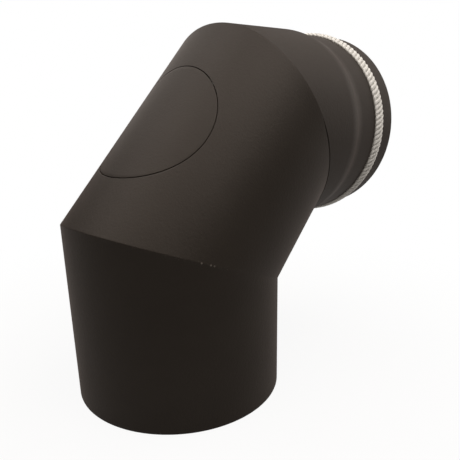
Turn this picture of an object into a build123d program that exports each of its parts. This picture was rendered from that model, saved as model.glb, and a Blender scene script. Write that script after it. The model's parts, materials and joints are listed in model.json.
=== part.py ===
from build123d import *
from math import cos, pi, radians, sin, sqrt, tan
import os

# Three-piece mitred flue elbow, 90 degrees, with a flush cleaning hatch in its middle piece.
# Millimetres, +Z up. The origin is the centre of the lower socket's mouth, the lower leg runs
# up +Z, the middle piece leans towards +X and the upper leg ends in a spigot along +X.

# --- driving dimensions ---
bore_diameter = 150.0
wall = 2.0
lower_leg_length = 102.4
middle_length = 114.7
upper_leg_length = 101.0
mitre_turn = 45.0

socket_depth = 55.0
socket_relief = 0.55
socket_lead = 2.0
edge_chamfer = 0.4

throat_land = 2.105556
shoulder_length = 21.0
shoulder_bend_length = 10.0
spigot_step = 3.1

rope_centre = 79.0
rope_half_width = 6.0
rope_proud = 2.6
rope_bury = 3.7
rope_gap = 0.15

weld_half_width = 2.5
weld_height = 1.0

hatch_radius = 48.2
hatch_gap = 0.6
hatch_outline_points = 36
seat_flange_width = 8.0
seat_shelf_width = 9.0
seat_overlap = 3.0
seat_thickness = 2.0
gasket_thickness = 1.7
gasket_margin = 0.6
tack_count = 8
tack_radius = 1.9

stud_radius = 4.0
stud_clearance = 0.1
stud_weld_radius = 6.5
stud_weld_height = 1.6
stud_tail = 3.0

bridge_drop = 7.0
bridge_thickness = 3.0
bridge_width = 26.0
bridge_foot_reach = 62.0
bridge_bend_radius = 4.0
bridge_seat_gap = 0.2

washer_radius = 12.0
washer_thickness = 1.5
spring_wire_radius = 0.8
spring_mean_radius = 8.0
spring_length = 22.5
spring_turns = 6.0
nut_across_flats = 13.0
nut_height = 6.5
lock_nut_height = 4.0

# --- what follows from them ---
inner_radius = bore_diameter / 2
outer_radius = inner_radius + wall
socket_radius = inner_radius + socket_relief
spigot_radius = outer_radius - spigot_step
mitre_slope = tan(radians(mitre_turn / 2))
shoulder_start = outer_radius * mitre_slope + throat_land
half_reach = middle_length / 2 + 2 * outer_radius

middle_axis = Vector(sin(radians(mitre_turn)), 0, cos(radians(mitre_turn)))
upper_axis = Vector(sin(radians(2 * mitre_turn)), 0, cos(radians(2 * mitre_turn)))
lower_corner = Vector(0, 0, lower_leg_length)
upper_corner = lower_corner + middle_axis * middle_length
hatch_centre = lower_corner + middle_axis * (middle_length / 2)
heel_normal = Vector(-cos(radians(mitre_turn)), 0, sin(radians(mitre_turn)))

lower_mitre = Plane(lower_corner, x_dir=(0, 1, 0), z_dir=Vector(0, 0, 1) + middle_axis)
upper_mitre = Plane(upper_corner, x_dir=(0, 1, 0), z_dir=middle_axis + upper_axis)
middle_section = Plane(hatch_centre, x_dir=(0, 1, 0), z_dir=middle_axis)
upper_profile = Plane(upper_corner, x_dir=upper_axis, z_dir=(0, -1, 0))
upper_line = Axis(upper_corner, upper_axis)
hatch_plane = Plane(hatch_centre, x_dir=middle_axis, z_dir=heel_normal)
bridge_profile = Plane(hatch_centre, x_dir=middle_axis, z_dir=(0, -1, 0))

cover_radius = hatch_radius - hatch_gap
shelf_top = inner_radius - seat_thickness
shelf_underside = shelf_top - seat_thickness
gasket_top = shelf_top + gasket_thickness
bridge_top = inner_radius - bridge_drop
bridge_underside = bridge_top - bridge_thickness
spring_top = bridge_underside - washer_thickness
spring_foot = spring_top - spring_length
nut_top = spring_foot - washer_thickness
lock_nut_top = nut_top - nut_height
stud_end = lock_nut_top - lock_nut_height - stud_tail

os.makedirs("parts", exist_ok=True)


def hatch_outline(radius):
    """Points of a circle drawn on the flat sheet before it is rolled, seen along the hatch's normal."""
    turns = [2 * pi * i / hatch_outline_points for i in range(hatch_outline_points)]
    return [(radius * cos(t), outer_radius * sin(radius * sin(t) / outer_radius)) for t in turns]


def hatch_prism(radius):
    """A straight plug through the heel side of the middle piece with the hatch's outline."""
    with BuildPart() as prism:
        with BuildSketch(hatch_plane):
            with BuildLine():
                Spline(*hatch_outline(radius), periodic=True)
            make_face()
        extrude(amount=outer_radius + wall)
    return prism.part


def middle_shell(low, high):
    """A tube about the middle piece's axis, longer than the piece."""
    with BuildPart() as shell:
        with BuildSketch(middle_section):
            Circle(high)
            Circle(low, mode=Mode.SUBTRACT)
        extrude(amount=half_reach, both=True)
    return shell.part


def straight_shell(plane, low, high):
    """A tube about a leg's axis that runs both ways from the given plane."""
    with BuildPart() as shell:
        with BuildSketch(plane):
            Circle(high)
            Circle(low, mode=Mode.SUBTRACT)
        extrude(amount=half_reach, both=True)
    return shell.part


def weld_band(mitre, before, after):
    """A low bead along one mitre's inner edge: half on each of the two tubes that meet there."""
    halves = []
    for section, keep in ((before, Keep.BOTTOM), (after, Keep.TOP)):
        shell = straight_shell(section, inner_radius - weld_height, inner_radius)
        with BuildPart() as half:
            with BuildSketch(mitre):
                Circle(2 * outer_radius)
            extrude(amount=weld_half_width, both=True)
            add(shell, mode=Mode.INTERSECT)
            split(bisect_by=mitre, keep=keep)
        halves.append(half.part)
    return halves


# --- lower leg: a straight tube with a sized socket at its open end ---
with BuildPart() as lower_leg:
    with BuildSketch(Plane.XZ):
        with BuildLine():
            Polyline(
                (socket_radius + edge_chamfer, 0),
                (outer_radius - edge_chamfer, 0),
                (outer_radius, edge_chamfer),
                (outer_radius, lower_leg_length + outer_radius),
                (inner_radius, lower_leg_length + outer_radius),
                (inner_radius, socket_depth + socket_lead),
                (socket_radius, socket_depth),
                (socket_radius, edge_chamfer),
                close=True,
            )
        make_face()
    revolve(axis=Axis.Z)
    split(bisect_by=lower_mitre, keep=Keep.BOTTOM)
lower_leg.part.label = "lower_leg"
export_step(lower_leg.part, "parts/lower_leg.step")

# --- middle piece: mitred at both ends, with the hatch hole in its heel side ---
hatch_hole = hatch_prism(hatch_radius)
with BuildPart() as middle_segment:
    with BuildSketch(middle_section):
        Circle(outer_radius)
        Circle(inner_radius, mode=Mode.SUBTRACT)
    extrude(amount=half_reach, both=True)
    split(bisect_by=lower_mitre, keep=Keep.TOP)
    split(bisect_by=upper_mitre, keep=Keep.BOTTOM)
    add(hatch_hole, mode=Mode.SUBTRACT)
middle_segment.part.label = "middle_segment"
export_step(middle_segment.part, "parts/middle_segment.step")

# --- upper leg: tube, drawn-in shoulder, spigot and rolled rope groove, formed from one sheet ---
groove_depth = rope_bury + rope_gap
groove_half_width = rope_half_width + rope_gap
groove_radius = (groove_half_width ** 2 + groove_depth ** 2) / (2 * groove_depth)
groove_axis_radius = spigot_radius - groove_depth + groove_radius
shoulder_end = shoulder_start + shoulder_length
bend_drop = spigot_step * shoulder_bend_length / (2 * (shoulder_length - shoulder_bend_length))


def wall_line(depth):
    """Named points of the upper leg's outline at a depth under its outer face."""
    arc_radius = groove_radius + depth
    level = spigot_radius - depth
    reach = sqrt(arc_radius ** 2 - (groove_axis_radius - level) ** 2)
    return {
        "tube": outer_radius - depth,
        "spigot": level,
        "groove_in": (rope_centre - reach, level),
        "groove_floor": (rope_centre, groove_axis_radius - arc_radius),
        "groove_out": (rope_centre + reach, level),
    }


outside = wall_line(0)
inside = wall_line(wall)
with BuildPart() as upper_leg:
    with BuildSketch(upper_profile):
        with BuildLine():
            for line in (outside, inside):
                start = (shoulder_start, line["tube"])
                first = (shoulder_start + shoulder_bend_length, line["tube"] - bend_drop)
                last = (shoulder_end - shoulder_bend_length, line["spigot"] + bend_drop)
                foot = (shoulder_end, line["spigot"])
                Line((-outer_radius, line["tube"]), start)
                TangentArc(start, first, tangent=(1, 0))
                Line(first, last)
                TangentArc(foot, last, tangent=(-1, 0))
                Line(foot, line["groove_in"])
                ThreePointArc(line["groove_in"], line["groove_floor"], line["groove_out"])
                Line(line["groove_out"], (upper_leg_length, line["spigot"]))
            Line((-outer_radius, outside["tube"]), (-outer_radius, inside["tube"]))
            Line((upper_leg_length, outside["spigot"]), (upper_leg_length, inside["spigot"]))
        make_face()
    revolve(axis=upper_line)
    split(bisect_by=upper_mitre, keep=Keep.TOP)
    rim_face = upper_leg.faces().filter_by(GeomType.PLANE).sort_by(Axis.X)[-1]
    chamfer(rim_face.edges(), length=edge_chamfer)
upper_leg.part.label = "upper_leg"
export_step(upper_leg.part, "parts/upper_leg.step")

# --- weld beads inside the two mitred joints ---
lower_bead_halves = weld_band(lower_mitre, Plane.XY, middle_section)
with BuildPart() as lower_seam_weld:
    add(lower_bead_halves)
lower_seam_weld.part.label = "lower_seam_weld"
export_step(lower_seam_weld.part, "parts/lower_seam_weld.step")

upper_section = Plane(upper_corner, x_dir=(0, 1, 0), z_dir=upper_axis)
upper_bead_halves = weld_band(upper_mitre, middle_section, upper_section)
with BuildPart() as upper_seam_weld:
    add(upper_bead_halves)
upper_seam_weld.part.label = "upper_seam_weld"
export_step(upper_seam_weld.part, "parts/upper_seam_weld.step")

# --- seat ring: a joggled ring behind the hatch hole, its flange under the wall, its shelf inside ---
flange_rim = hatch_prism(hatch_radius + seat_flange_width)
flange_eye = hatch_prism(hatch_radius)
shelf_rim = hatch_prism(hatch_radius + seat_overlap)
shelf_eye = hatch_prism(hatch_radius - seat_shelf_width)
flange_shell = middle_shell(shelf_top, inner_radius)
shelf_shell = middle_shell(shelf_underside, shelf_top)
with BuildPart() as hatch_flange:
    add(flange_rim)
    add(flange_eye, mode=Mode.SUBTRACT)
    add(flange_shell, mode=Mode.INTERSECT)
with BuildPart() as hatch_seat_ring:
    add(shelf_rim)
    add(shelf_eye, mode=Mode.SUBTRACT)
    add(shelf_shell, mode=Mode.INTERSECT)
    add(hatch_flange.part)
hatch_seat_ring.part.label = "hatch_seat_ring"
export_step(hatch_seat_ring.part, "parts/hatch_seat_ring.step")

# --- tack welds: beads that hold the seat ring's edge to the inside of the wall ---
tack_line = hatch_radius + seat_flange_width
wall_shell = middle_shell(inner_radius, outer_radius + wall)
with BuildPart() as seat_tack_welds:
    for index in range(tack_count):
        turn = 2 * pi * (index + 0.5) / tack_count
        swing = tack_line * sin(turn) / outer_radius
        along = middle_axis * (tack_line * cos(turn))
        across = Vector(0, outer_radius * sin(swing), 0)
        lift = heel_normal * sqrt(inner_radius ** 2 - across.Y ** 2)
        with Locations(hatch_centre + along + across + lift):
            Sphere(tack_radius)
    add(wall_shell, mode=Mode.SUBTRACT)
    add(hatch_seat_ring.part, mode=Mode.SUBTRACT)
seat_tack_welds.part.label = "seat_tack_welds"
export_step(seat_tack_welds.part, "parts/seat_tack_welds.step")

# --- gasket on the seat ring's shelf ---
gasket_rim = hatch_prism(hatch_radius - gasket_margin)
gasket_eye = hatch_prism(hatch_radius - seat_shelf_width + gasket_margin)
gasket_shell = middle_shell(shelf_top, gasket_top)
with BuildPart() as hatch_gasket:
    add(gasket_rim)
    add(gasket_eye, mode=Mode.SUBTRACT)
    add(gasket_shell, mode=Mode.INTERSECT)
hatch_gasket.part.label = "hatch_gasket"
export_step(hatch_gasket.part, "parts/hatch_gasket.step")

# --- hatch cover: the piece cut out of the wall, smaller all round by the gap ---
cover_blank = hatch_prism(cover_radius)
cover_shell = middle_shell(inner_radius, outer_radius)
with BuildPart() as hatch_cover:
    add(cover_blank)
    add(cover_shell, mode=Mode.INTERSECT)
hatch_cover.part.label = "hatch_cover"
export_step(hatch_cover.part, "parts/hatch_cover.step")

# --- stud welded to the inside of the cover, with its fillet of weld ---
with BuildPart() as hatch_stud:
    with BuildSketch(hatch_plane.offset(stud_end)):
        Circle(stud_radius)
    extrude(amount=inner_radius + wall / 2 - stud_end)
    chamfer(hatch_stud.faces().sort_by(Axis(hatch_centre, heel_normal))[0].edges(), length=1.0)
    add(cover_shell, mode=Mode.SUBTRACT)
hatch_stud.part.label = "hatch_stud"
export_step(hatch_stud.part, "parts/hatch_stud.step")

with BuildPart() as stud_weld:
    with BuildSketch(hatch_plane.offset(inner_radius - stud_weld_height)):
        Circle(stud_weld_radius)
    extrude(amount=stud_weld_height + wall / 2)
    foot = stud_weld.faces().sort_by(Axis(hatch_centre, heel_normal))[0]
    chamfer(foot.edges(), length=stud_weld_height * 0.9)
    with BuildSketch(hatch_plane):
        Circle(stud_radius)
    extrude(amount=outer_radius + wall, mode=Mode.SUBTRACT)
    add(cover_shell, mode=Mode.SUBTRACT)
stud_weld.part.label = "stud_weld"
export_step(stud_weld.part, "parts/stud_weld.step")

# --- bridge: a flat bar across the inside whose bent feet bear on the wall ---
bore_plug = middle_shell(0.001, inner_radius - bridge_seat_gap)
with BuildPart() as bridge_bar:
    with BuildSketch(bridge_profile):
        with BuildLine():
            FilletPolyline(
                (-bridge_foot_reach, outer_radius),
                (-bridge_foot_reach, bridge_underside),
                (bridge_foot_reach, bridge_underside),
                (bridge_foot_reach, outer_radius),
                radius=bridge_bend_radius,
            )
            FilletPolyline(
                (-bridge_foot_reach + bridge_thickness, outer_radius),
                (-bridge_foot_reach + bridge_thickness, bridge_top),
                (bridge_foot_reach - bridge_thickness, bridge_top),
                (bridge_foot_reach - bridge_thickness, outer_radius),
                radius=bridge_bend_radius - bridge_thickness,
            )
            Line(
                (-bridge_foot_reach, outer_radius),
                (-bridge_foot_reach + bridge_thickness, outer_radius),
            )
            Line(
                (bridge_foot_reach, outer_radius),
                (bridge_foot_reach - bridge_thickness, outer_radius),
            )
        make_face()
    extrude(amount=bridge_width / 2, both=True)
    with BuildSketch(hatch_plane):
        Circle(stud_radius + stud_clearance)
    extrude(amount=outer_radius, mode=Mode.SUBTRACT)
    add(bore_plug, mode=Mode.INTERSECT)
bridge_bar.part.label = "bridge_bar"
export_step(bridge_bar.part, "parts/bridge_bar.step")

# --- washers either side of the spring ---
with BuildPart() as bridge_washer:
    with BuildSketch(hatch_plane.offset(spring_top)):
        Circle(washer_radius)
        Circle(stud_radius + 2 * stud_clearance, mode=Mode.SUBTRACT)
    extrude(amount=washer_thickness)
bridge_washer.part.label = "bridge_washer"
export_step(bridge_washer.part, "parts/bridge_washer.step")

with BuildPart() as spring_washer:
    with BuildSketch(hatch_plane.offset(nut_top)):
        Circle(washer_radius)
        Circle(stud_radius + stud_clearance, mode=Mode.SUBTRACT)
    extrude(amount=washer_thickness)
spring_washer.part.label = "spring_washer"
export_step(spring_washer.part, "parts/spring_washer.step")

# --- compression spring round the stud, its ends ground flat ---
with BuildPart() as hatch_spring:
    with BuildLine():
        coil = Helix(
            spring_length / spring_turns,
            spring_length,
            spring_mean_radius,
            center=hatch_plane.offset(spring_foot).origin,
            direction=heel_normal,
        )
    with BuildSketch(Plane(coil @ 0, z_dir=coil % 0)):
        Circle(spring_wire_radius)
    sweep(path=coil)
    with BuildSketch(hatch_plane.offset(spring_foot)):
        Circle(2 * spring_mean_radius)
    extrude(amount=spring_length, mode=Mode.INTERSECT)
hatch_spring.part.label = "hatch_spring"
export_step(hatch_spring.part, "parts/hatch_spring.step")

# --- nut that holds the spring and the thinner nut that locks it ---
with BuildPart() as stud_nut:
    with BuildSketch(hatch_plane.offset(nut_top - nut_height)):
        RegularPolygon(nut_across_flats / 2, 6, major_radius=False)
        Circle(stud_radius, mode=Mode.SUBTRACT)
    extrude(amount=nut_height)
stud_nut.part.label = "stud_nut"
export_step(stud_nut.part, "parts/stud_nut.step")

with BuildPart() as lock_nut:
    with BuildSketch(hatch_plane.offset(lock_nut_top - lock_nut_height)):
        RegularPolygon(nut_across_flats / 2, 6, major_radius=False)
        Circle(stud_radius, mode=Mode.SUBTRACT)
    extrude(amount=lock_nut_height)
lock_nut.part.label = "lock_nut"
export_step(lock_nut.part, "parts/lock_nut.step")

# --- braided rope seal in the spigot's groove ---
rope_floor = (rope_centre, spigot_radius - rope_bury)
rope_crown = (rope_centre, spigot_radius + rope_proud)
rope_sides = [(rope_centre - rope_half_width, spigot_radius), (rope_centre + rope_half_width, spigot_radius)]
with BuildPart() as rope_seal:
    with BuildSketch(upper_profile):
        with BuildLine():
            ThreePointArc(rope_sides[0], rope_floor, rope_sides[1])
            ThreePointArc(rope_sides[0], rope_crown, rope_sides[1])
        make_face()
    revolve(axis=upper_line)
rope_seal.part.label = "rope_seal"
export_step(rope_seal.part, "parts/rope_seal.step")
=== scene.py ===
"""Looks of the mitred flue elbow: painted shells, rope seal, hatch fastening, floor and light."""

from __future__ import annotations

import json
import logging
import math
from dataclasses import dataclass, field
from enum import Enum

import bmesh
import bpy
import numpy as np
from mathutils import Matrix, Vector

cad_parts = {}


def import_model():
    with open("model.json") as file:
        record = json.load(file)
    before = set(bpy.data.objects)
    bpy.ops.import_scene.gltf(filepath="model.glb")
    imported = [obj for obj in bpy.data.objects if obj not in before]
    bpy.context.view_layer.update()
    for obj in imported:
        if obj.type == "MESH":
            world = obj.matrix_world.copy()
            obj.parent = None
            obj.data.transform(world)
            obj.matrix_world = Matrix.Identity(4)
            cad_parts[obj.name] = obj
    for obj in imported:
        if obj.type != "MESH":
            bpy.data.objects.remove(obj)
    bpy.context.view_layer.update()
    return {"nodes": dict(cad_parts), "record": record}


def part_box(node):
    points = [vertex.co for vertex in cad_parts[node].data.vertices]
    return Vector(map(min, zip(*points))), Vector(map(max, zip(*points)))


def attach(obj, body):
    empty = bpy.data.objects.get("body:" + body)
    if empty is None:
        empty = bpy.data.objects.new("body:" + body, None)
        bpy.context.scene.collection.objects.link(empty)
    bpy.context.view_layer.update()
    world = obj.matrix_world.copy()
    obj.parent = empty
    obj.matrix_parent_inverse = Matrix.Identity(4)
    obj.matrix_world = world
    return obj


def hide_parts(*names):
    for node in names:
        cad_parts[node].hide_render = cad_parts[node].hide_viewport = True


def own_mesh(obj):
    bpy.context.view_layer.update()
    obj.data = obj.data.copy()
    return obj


LOG = logging.getLogger("flue_elbow")
MM = 0.001
MITRE_HALF_TURN = math.radians(22.5)
TURN = 2 * math.pi
HATCH_GAP = 0.6 * MM
CHIP_TURNS = (-62.6, -66.9, -68.7)
MERGE_DISTANCE = 2e-6
SHARP_ANGLE = math.radians(38)
RIM_WEAR = 0.6
WHITE = (1.0, 1.0, 1.0, 1.0)

Triple = tuple[float, float, float]
Quad = tuple[float, float, float, float]


class Body(Enum):
    """The moving groups of the elbow."""

    ELBOW = "elbow"
    HATCH = "hatch"


class Slot(Enum):
    """Material slots of the record."""

    PAINT = "heat_paint"
    WELD = "weld_bead"
    BARE = "bare_steel"
    GASKET = "gasket_fibre"
    ROPE = "rope_fibre"
    FASTENER = "fastener_steel"
    SPRING = "spring_wire"


# --- shader graphs ---


class Value:
    """A shader socket that adds Math nodes when it is used in an expression."""

    def __init__(self, graph: "Graph", socket: bpy.types.NodeSocket) -> None:
        """Wrap a socket.

        Args:
            graph: The graph that the socket's node is in.
            socket: The output socket that carries the number.
        """
        self.graph = graph
        self.socket = socket

    def _math(self, operation: str, first: object, second: object) -> "Value":
        """Add one Math node and wrap its result."""
        node = self.graph.node("ShaderNodeMath", {"operation": operation}, {0: first, 1: second})
        return Value(self.graph, node.outputs[0])

    def __add__(self, other: object) -> "Value":
        """Sum of two values."""
        return self._math("ADD", self, other)

    __radd__ = __add__

    def __sub__(self, other: object) -> "Value":
        """This value less the other."""
        return self._math("SUBTRACT", self, other)

    def __rsub__(self, other: object) -> "Value":
        """The other value less this one."""
        return self._math("SUBTRACT", other, self)

    def __mul__(self, other: object) -> "Value":
        """Product of two values."""
        return self._math("MULTIPLY", self, other)

    __rmul__ = __mul__

    def between(self, low: float, high: float) -> "Value":
        """Smooth step of the value.

        Args:
            low: Where the step is 0.
            high: Where the step is 1.

        Returns:
            The step, from 0 to 1.
        """
        node = self.graph.node(
            "ShaderNodeMapRange",
            {"interpolation_type": "SMOOTHSTEP"},
            {"Value": self, "From Min": low, "From Max": high},
        )
        return Value(self.graph, node.outputs[0])


class Graph:
    """The node tree of one material or of the world."""

    def __init__(self, name: str, library: str = "materials") -> None:
        """Start an empty tree.

        Args:
            name: Name of the material or world.
            library: Blender's list that it goes in, materials or worlds.
        """
        self.block = getattr(bpy.data, library).new(name)
        self.block.use_nodes = True
        self.tree = self.block.node_tree
        self.tree.nodes.clear()
        self.place = self.node("ShaderNodeTexCoord").outputs["Object"]

    def node(
        self, kind: str, settings: dict[str, object] | None = None, inputs: dict | None = None
    ) -> bpy.types.Node:
        """Add a node, set it, then fill or link its sockets.

        Args:
            kind: The node's type name.
            settings: Attributes that are set before the sockets.
            inputs: Socket names or numbers with a constant, a socket or a Value for each.

        Returns:
            The new node.
        """
        made = self.tree.nodes.new(kind)
        for name, setting in (settings or {}).items():
            setattr(made, name, setting)
        for key, source in (inputs or {}).items():
            if isinstance(source, Value):
                source = source.socket
            if isinstance(source, bpy.types.NodeSocket):
                self.tree.links.new(source, made.inputs[key])
            else:
                made.inputs[key].default_value = source
        return made

    def noise(
        self, scale: float, detail: float, rough: float, at: bpy.types.NodeSocket | None = None
    ) -> Value:
        """Fractal noise of about 0 to 1.

        Args:
            scale: Lumps per metre.
            detail: Octaves of finer noise.
            rough: Share of each finer octave.
            at: Coordinates, or None for the elbow's own frame.

        Returns:
            The noise's value.
        """
        node = self.node(
            "ShaderNodeTexNoise",
            None,
            {"Vector": at or self.place, "Scale": scale, "Detail": detail, "Roughness": rough},
        )
        return Value(self, node.outputs[0])

    def attribute(self, name: str) -> Value:
        """A number stored on the mesh's points."""
        node = self.node("ShaderNodeAttribute", {"attribute_name": name})
        return Value(self, node.outputs["Fac"])

    def distance_from(self, place: Triple) -> Value:
        """Measure how far the shaded point is from a place.

        Args:
            place: The place, in the elbow's own frame.

        Returns:
            The distance in metres.
        """
        node = self.node(
            "ShaderNodeVectorMath", {"operation": "DISTANCE"}, {0: self.place, 1: place}
        )
        return Value(self, node.outputs["Value"])

    def blend(self, amount: object, first: object, second: object) -> bpy.types.NodeSocket:
        """Mix two colours.

        Args:
            amount: Share of the second colour.
            first: Colour at 0, a triple or a socket.
            second: Colour at 1, a triple or a socket.

        Returns:
            The mixed colour's socket.
        """
        ends = [(*c, 1.0) if isinstance(c, tuple) else c for c in (first, second)]
        node = self.node(
            "ShaderNodeMix", {"data_type": "RGBA"}, {0: amount, 6: ends[0], 7: ends[1]}
        )
        return node.outputs[2]

    def bump(self, height: Value, distance: float, strength: float = 1.0) -> bpy.types.NodeSocket:
        """Turn a height into a normal.

        Args:
            height: Height of about 0 to 1.
            distance: Metres that a height of 1 stands for.
            strength: Share of the effect.

        Returns:
            The normal's socket.
        """
        node = self.node(
            "ShaderNodeBump", None, {"Strength": strength, "Distance": distance, "Height": height}
        )
        return node.outputs[0]

    def backdrop_share(self, mirrored: float) -> Value:
        """Share of the white backdrop that a ray meets, all of it for a camera ray.

        Args:
            mirrored: Share for mirrored and for transmitted rays.

        Returns:
            The share, from 0 to 1.
        """
        path = self.node("ShaderNodeLightPath").outputs
        glancing = Value(self, path["Is Glossy Ray"]) + Value(self, path["Is Transmission Ray"])
        return Value(self, path["Is Camera Ray"]) + glancing * mirrored

    def principled(self, inputs: dict[str, object]) -> None:
        """Finish the material with one Principled shader.

        Args:
            inputs: Socket names with their constants or links.
        """
        shader = self.node("ShaderNodeBsdfPrincipled", None, inputs)
        self.node("ShaderNodeOutputMaterial", None, {"Surface": shader.outputs[0]})


@dataclass(frozen=True)
class HeatPaint:
    """Matte heat-resistant paint on sheet steel, with fine grain and rubbed edges."""

    name: str = "heat_paint_matte"
    colour: Triple = (0.0165, 0.0130, 0.0098)
    cloud: Triple = (0.0200, 0.0162, 0.0125)
    rubbed: Triple = (0.055, 0.047, 0.040)
    bare: Triple = (0.13, 0.115, 0.10)
    roughness: float = 0.50
    roughness_swing: float = 0.10
    specular: float = 0.30
    tint: Quad = (1.0, 0.90, 0.84, 1.0)
    sheen: float = 0.05
    sheen_roughness: float = 0.4
    sheen_tint: Quad = (1.0, 0.62, 0.45, 1.0)
    cloud_scale: float = 24.0
    mottle_scale: float = 420.0
    peel_scale: float = 620.0
    fleck_scale: float = 900.0
    grain_scale: float = 2300.0
    peel_share: float = 0.7
    grain_height: float = 0.13 * MM
    speckle_share: float = 0.5
    wear_share: float = 0.8
    chips: tuple[Triple, ...] = ()
    chip_size: float = 0.75 * MM

    def _chipped(self, graph: Graph) -> Value:
        """Share of bare steel at the few chips on the lower joint's ridge.

        Args:
            graph: The paint's graph.

        Returns:
            The share, 1 in the middle of a chip.
        """
        core = self.chip_size / 2
        return sum(
            1 - graph.distance_from(place).between(core, self.chip_size) for place in self.chips
        )

    def build(self) -> bpy.types.Material:
        """Make the material.

        Returns:
            The new material.
        """
        graph = Graph(self.name)
        clouds = graph.noise(self.cloud_scale, detail=4.0, rough=0.55)
        grain = graph.noise(self.grain_scale, detail=3.0, rough=0.6)
        mottle = graph.noise(self.mottle_scale, detail=3.0, rough=0.6)
        peel = graph.noise(self.peel_scale, detail=2.0, rough=0.5)
        flecks = graph.noise(self.fleck_scale, detail=4.0, rough=0.7)
        rubs = flecks.between(0.50, 0.70) * mottle.between(0.40, 0.62)
        wear = graph.attribute("edge") * rubs * self.wear_share
        speckle = (mottle * 0.4 + grain * 0.6).between(0.42, 0.62) * self.speckle_share
        tone = graph.blend(clouds.between(0.3, 0.7), self.colour, self.cloud)
        colour = graph.blend(wear, graph.blend(speckle, tone, self.cloud), self.rubbed)
        if self.chips:
            chipped = self._chipped(graph) * flecks.between(0.35, 0.5)
            colour = graph.blend(chipped, colour, self.bare)
        swing = (mottle - 0.5) * self.roughness_swing + (grain - 0.5) * self.roughness_swing
        relief = peel * self.peel_share + grain * (1 - self.peel_share)
        graph.principled(
            {
                "Base Color": colour,
                "Roughness": self.roughness + swing,
                "Specular IOR Level": self.specular,
                "Specular Tint": self.tint,
                "Sheen Weight": self.sheen,
                "Sheen Roughness": self.sheen_roughness,
                "Sheen Tint": self.sheen_tint,
                "Normal": graph.bump(relief, self.grain_height),
            }
        )
        return graph.block


@dataclass(frozen=True)
class MillSteel:
    """Bare or thinly coated sheet steel, weld metal or wire, with rolling marks and stains."""

    name: str
    colour: Triple
    shade: Triple
    roughness: float
    metallic: float = 0.9
    stain_scale: float = 38.0
    streak_scale: float = 380.0
    grain_scale: float = 2600.0
    streak_share: float = 0.4
    stain_roughness: float = 0.3
    grain_roughness: float = 0.1
    grain_height: float = 0.03 * MM

    def build(self) -> bpy.types.Material:
        """Make the material.

        Returns:
            The new material.
        """
        graph = Graph(self.name)
        streaks = graph.noise(self.streak_scale, detail=4.0, rough=0.6)
        stains = graph.noise(self.stain_scale, detail=5.0, rough=0.6)
        grain = graph.noise(self.grain_scale, detail=2.0, rough=0.5)
        tone = graph.blend(stains.between(0.32, 0.68), self.shade, self.colour)
        bright = streaks.between(0.45, 0.75) * self.streak_share
        swing = (stains - 0.5) * self.stain_roughness + (grain - 0.5) * self.grain_roughness
        graph.principled(
            {
                "Base Color": graph.blend(bright, tone, self.colour),
                "Roughness": self.roughness + swing,
                "Metallic": self.metallic,
                "Normal": graph.bump(grain * 0.5 + streaks * 0.5, self.grain_height),
            }
        )
        return graph.block


@dataclass(frozen=True)
class RopeFibre:
    """Knitted glass fibre, off-white, with painted shade between its strands, a painted highlight
    on their crests and painted shade where it tucks into the steel groove.
    """

    name: str = "rope_fibre_knit"
    colour: Triple = (0.88, 0.875, 0.84)
    deep: Triple = (0.33, 0.32, 0.285)
    # Colour of the painted shade where the rope tucks into the steel groove.
    groove_shade: Triple = (0.30, 0.28, 0.245)
    roughness: float = 0.85
    specular: float = 0.25
    sheen: float = 0.25
    sheen_roughness: float = 0.5
    blotch_scale: float = 160.0
    fuzz_height: float = 0.16 * MM
    fuzz_strength: float = 0.8

    def build(self) -> bpy.types.Material:
        """Make the material.

        Returns:
            The new material.
        """
        graph = Graph(self.name)
        along, across = graph.attribute("along"), graph.attribute("across")
        threads = graph.node("ShaderNodeCombineXYZ", None, {0: along, 1: across}).outputs[0]
        fibre = graph.noise(1.0, detail=3.0, rough=0.6, at=threads)
        blotch = graph.noise(self.blotch_scale, detail=3.0, rough=0.6)
        # Painted shade in the valleys between the strands and a painted highlight on their crests,
        # on top of the modelled relief.
        lit = (graph.attribute("crest") * 0.8 + fibre * 0.4).between(0.2, 0.85)
        # Painted shade where the rope tucks into the steel groove, broken up by blotches.
        groove_shade_share = (graph.attribute("edge") * 0.9 + (blotch - 0.5) * 0.5).between(0.35, 1.1)
        tone = graph.blend(lit, self.deep, self.colour)
        graph.principled(
            {
                "Base Color": graph.blend(groove_shade_share, tone, self.groove_shade),
                "Roughness": self.roughness,
                "Specular IOR Level": self.specular,
                "Sheen Weight": self.sheen,
                "Sheen Roughness": self.sheen_roughness,
                "Normal": graph.bump(fibre, self.fuzz_height, self.fuzz_strength),
            }
        )
        return graph.block


@dataclass(frozen=True)
class WovenTape:
    """Flat woven glass tape, pale grey-white, with painted shade between its threads and a painted
    highlight on them.
    """

    name: str = "gasket_tape_woven"
    colour: Triple = (0.58, 0.56, 0.50)
    deep: Triple = (0.30, 0.28, 0.24)
    roughness: float = 0.85
    specular: float = 0.3
    stain_scale: float = 120.0
    stain_share: float = 0.35
    fluff_scale: float = 1500.0
    fluff_height: float = 0.1 * MM

    def build(self) -> bpy.types.Material:
        """Make the material.

        Returns:
            The new material.
        """
        graph = Graph(self.name)
        fluff = graph.noise(self.fluff_scale, detail=3.0, rough=0.6)
        stain = graph.noise(self.stain_scale, detail=3.0, rough=0.5).between(0.5, 0.8)
        # Painted shade between the threads and a painted highlight on their crests; the same dark
        # colour also tints the random stains.
        lit = (graph.attribute("crest") * 0.8 + fluff * 0.4).between(0.2, 0.9)
        woven = graph.blend(lit, self.deep, self.colour)
        graph.principled(
            {
                "Base Color": graph.blend(stain * self.stain_share, woven, self.deep),
                "Roughness": self.roughness,
                "Specular IOR Level": self.specular,
                "Normal": graph.bump(fluff, self.fluff_height),
            }
        )
        return graph.block


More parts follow.
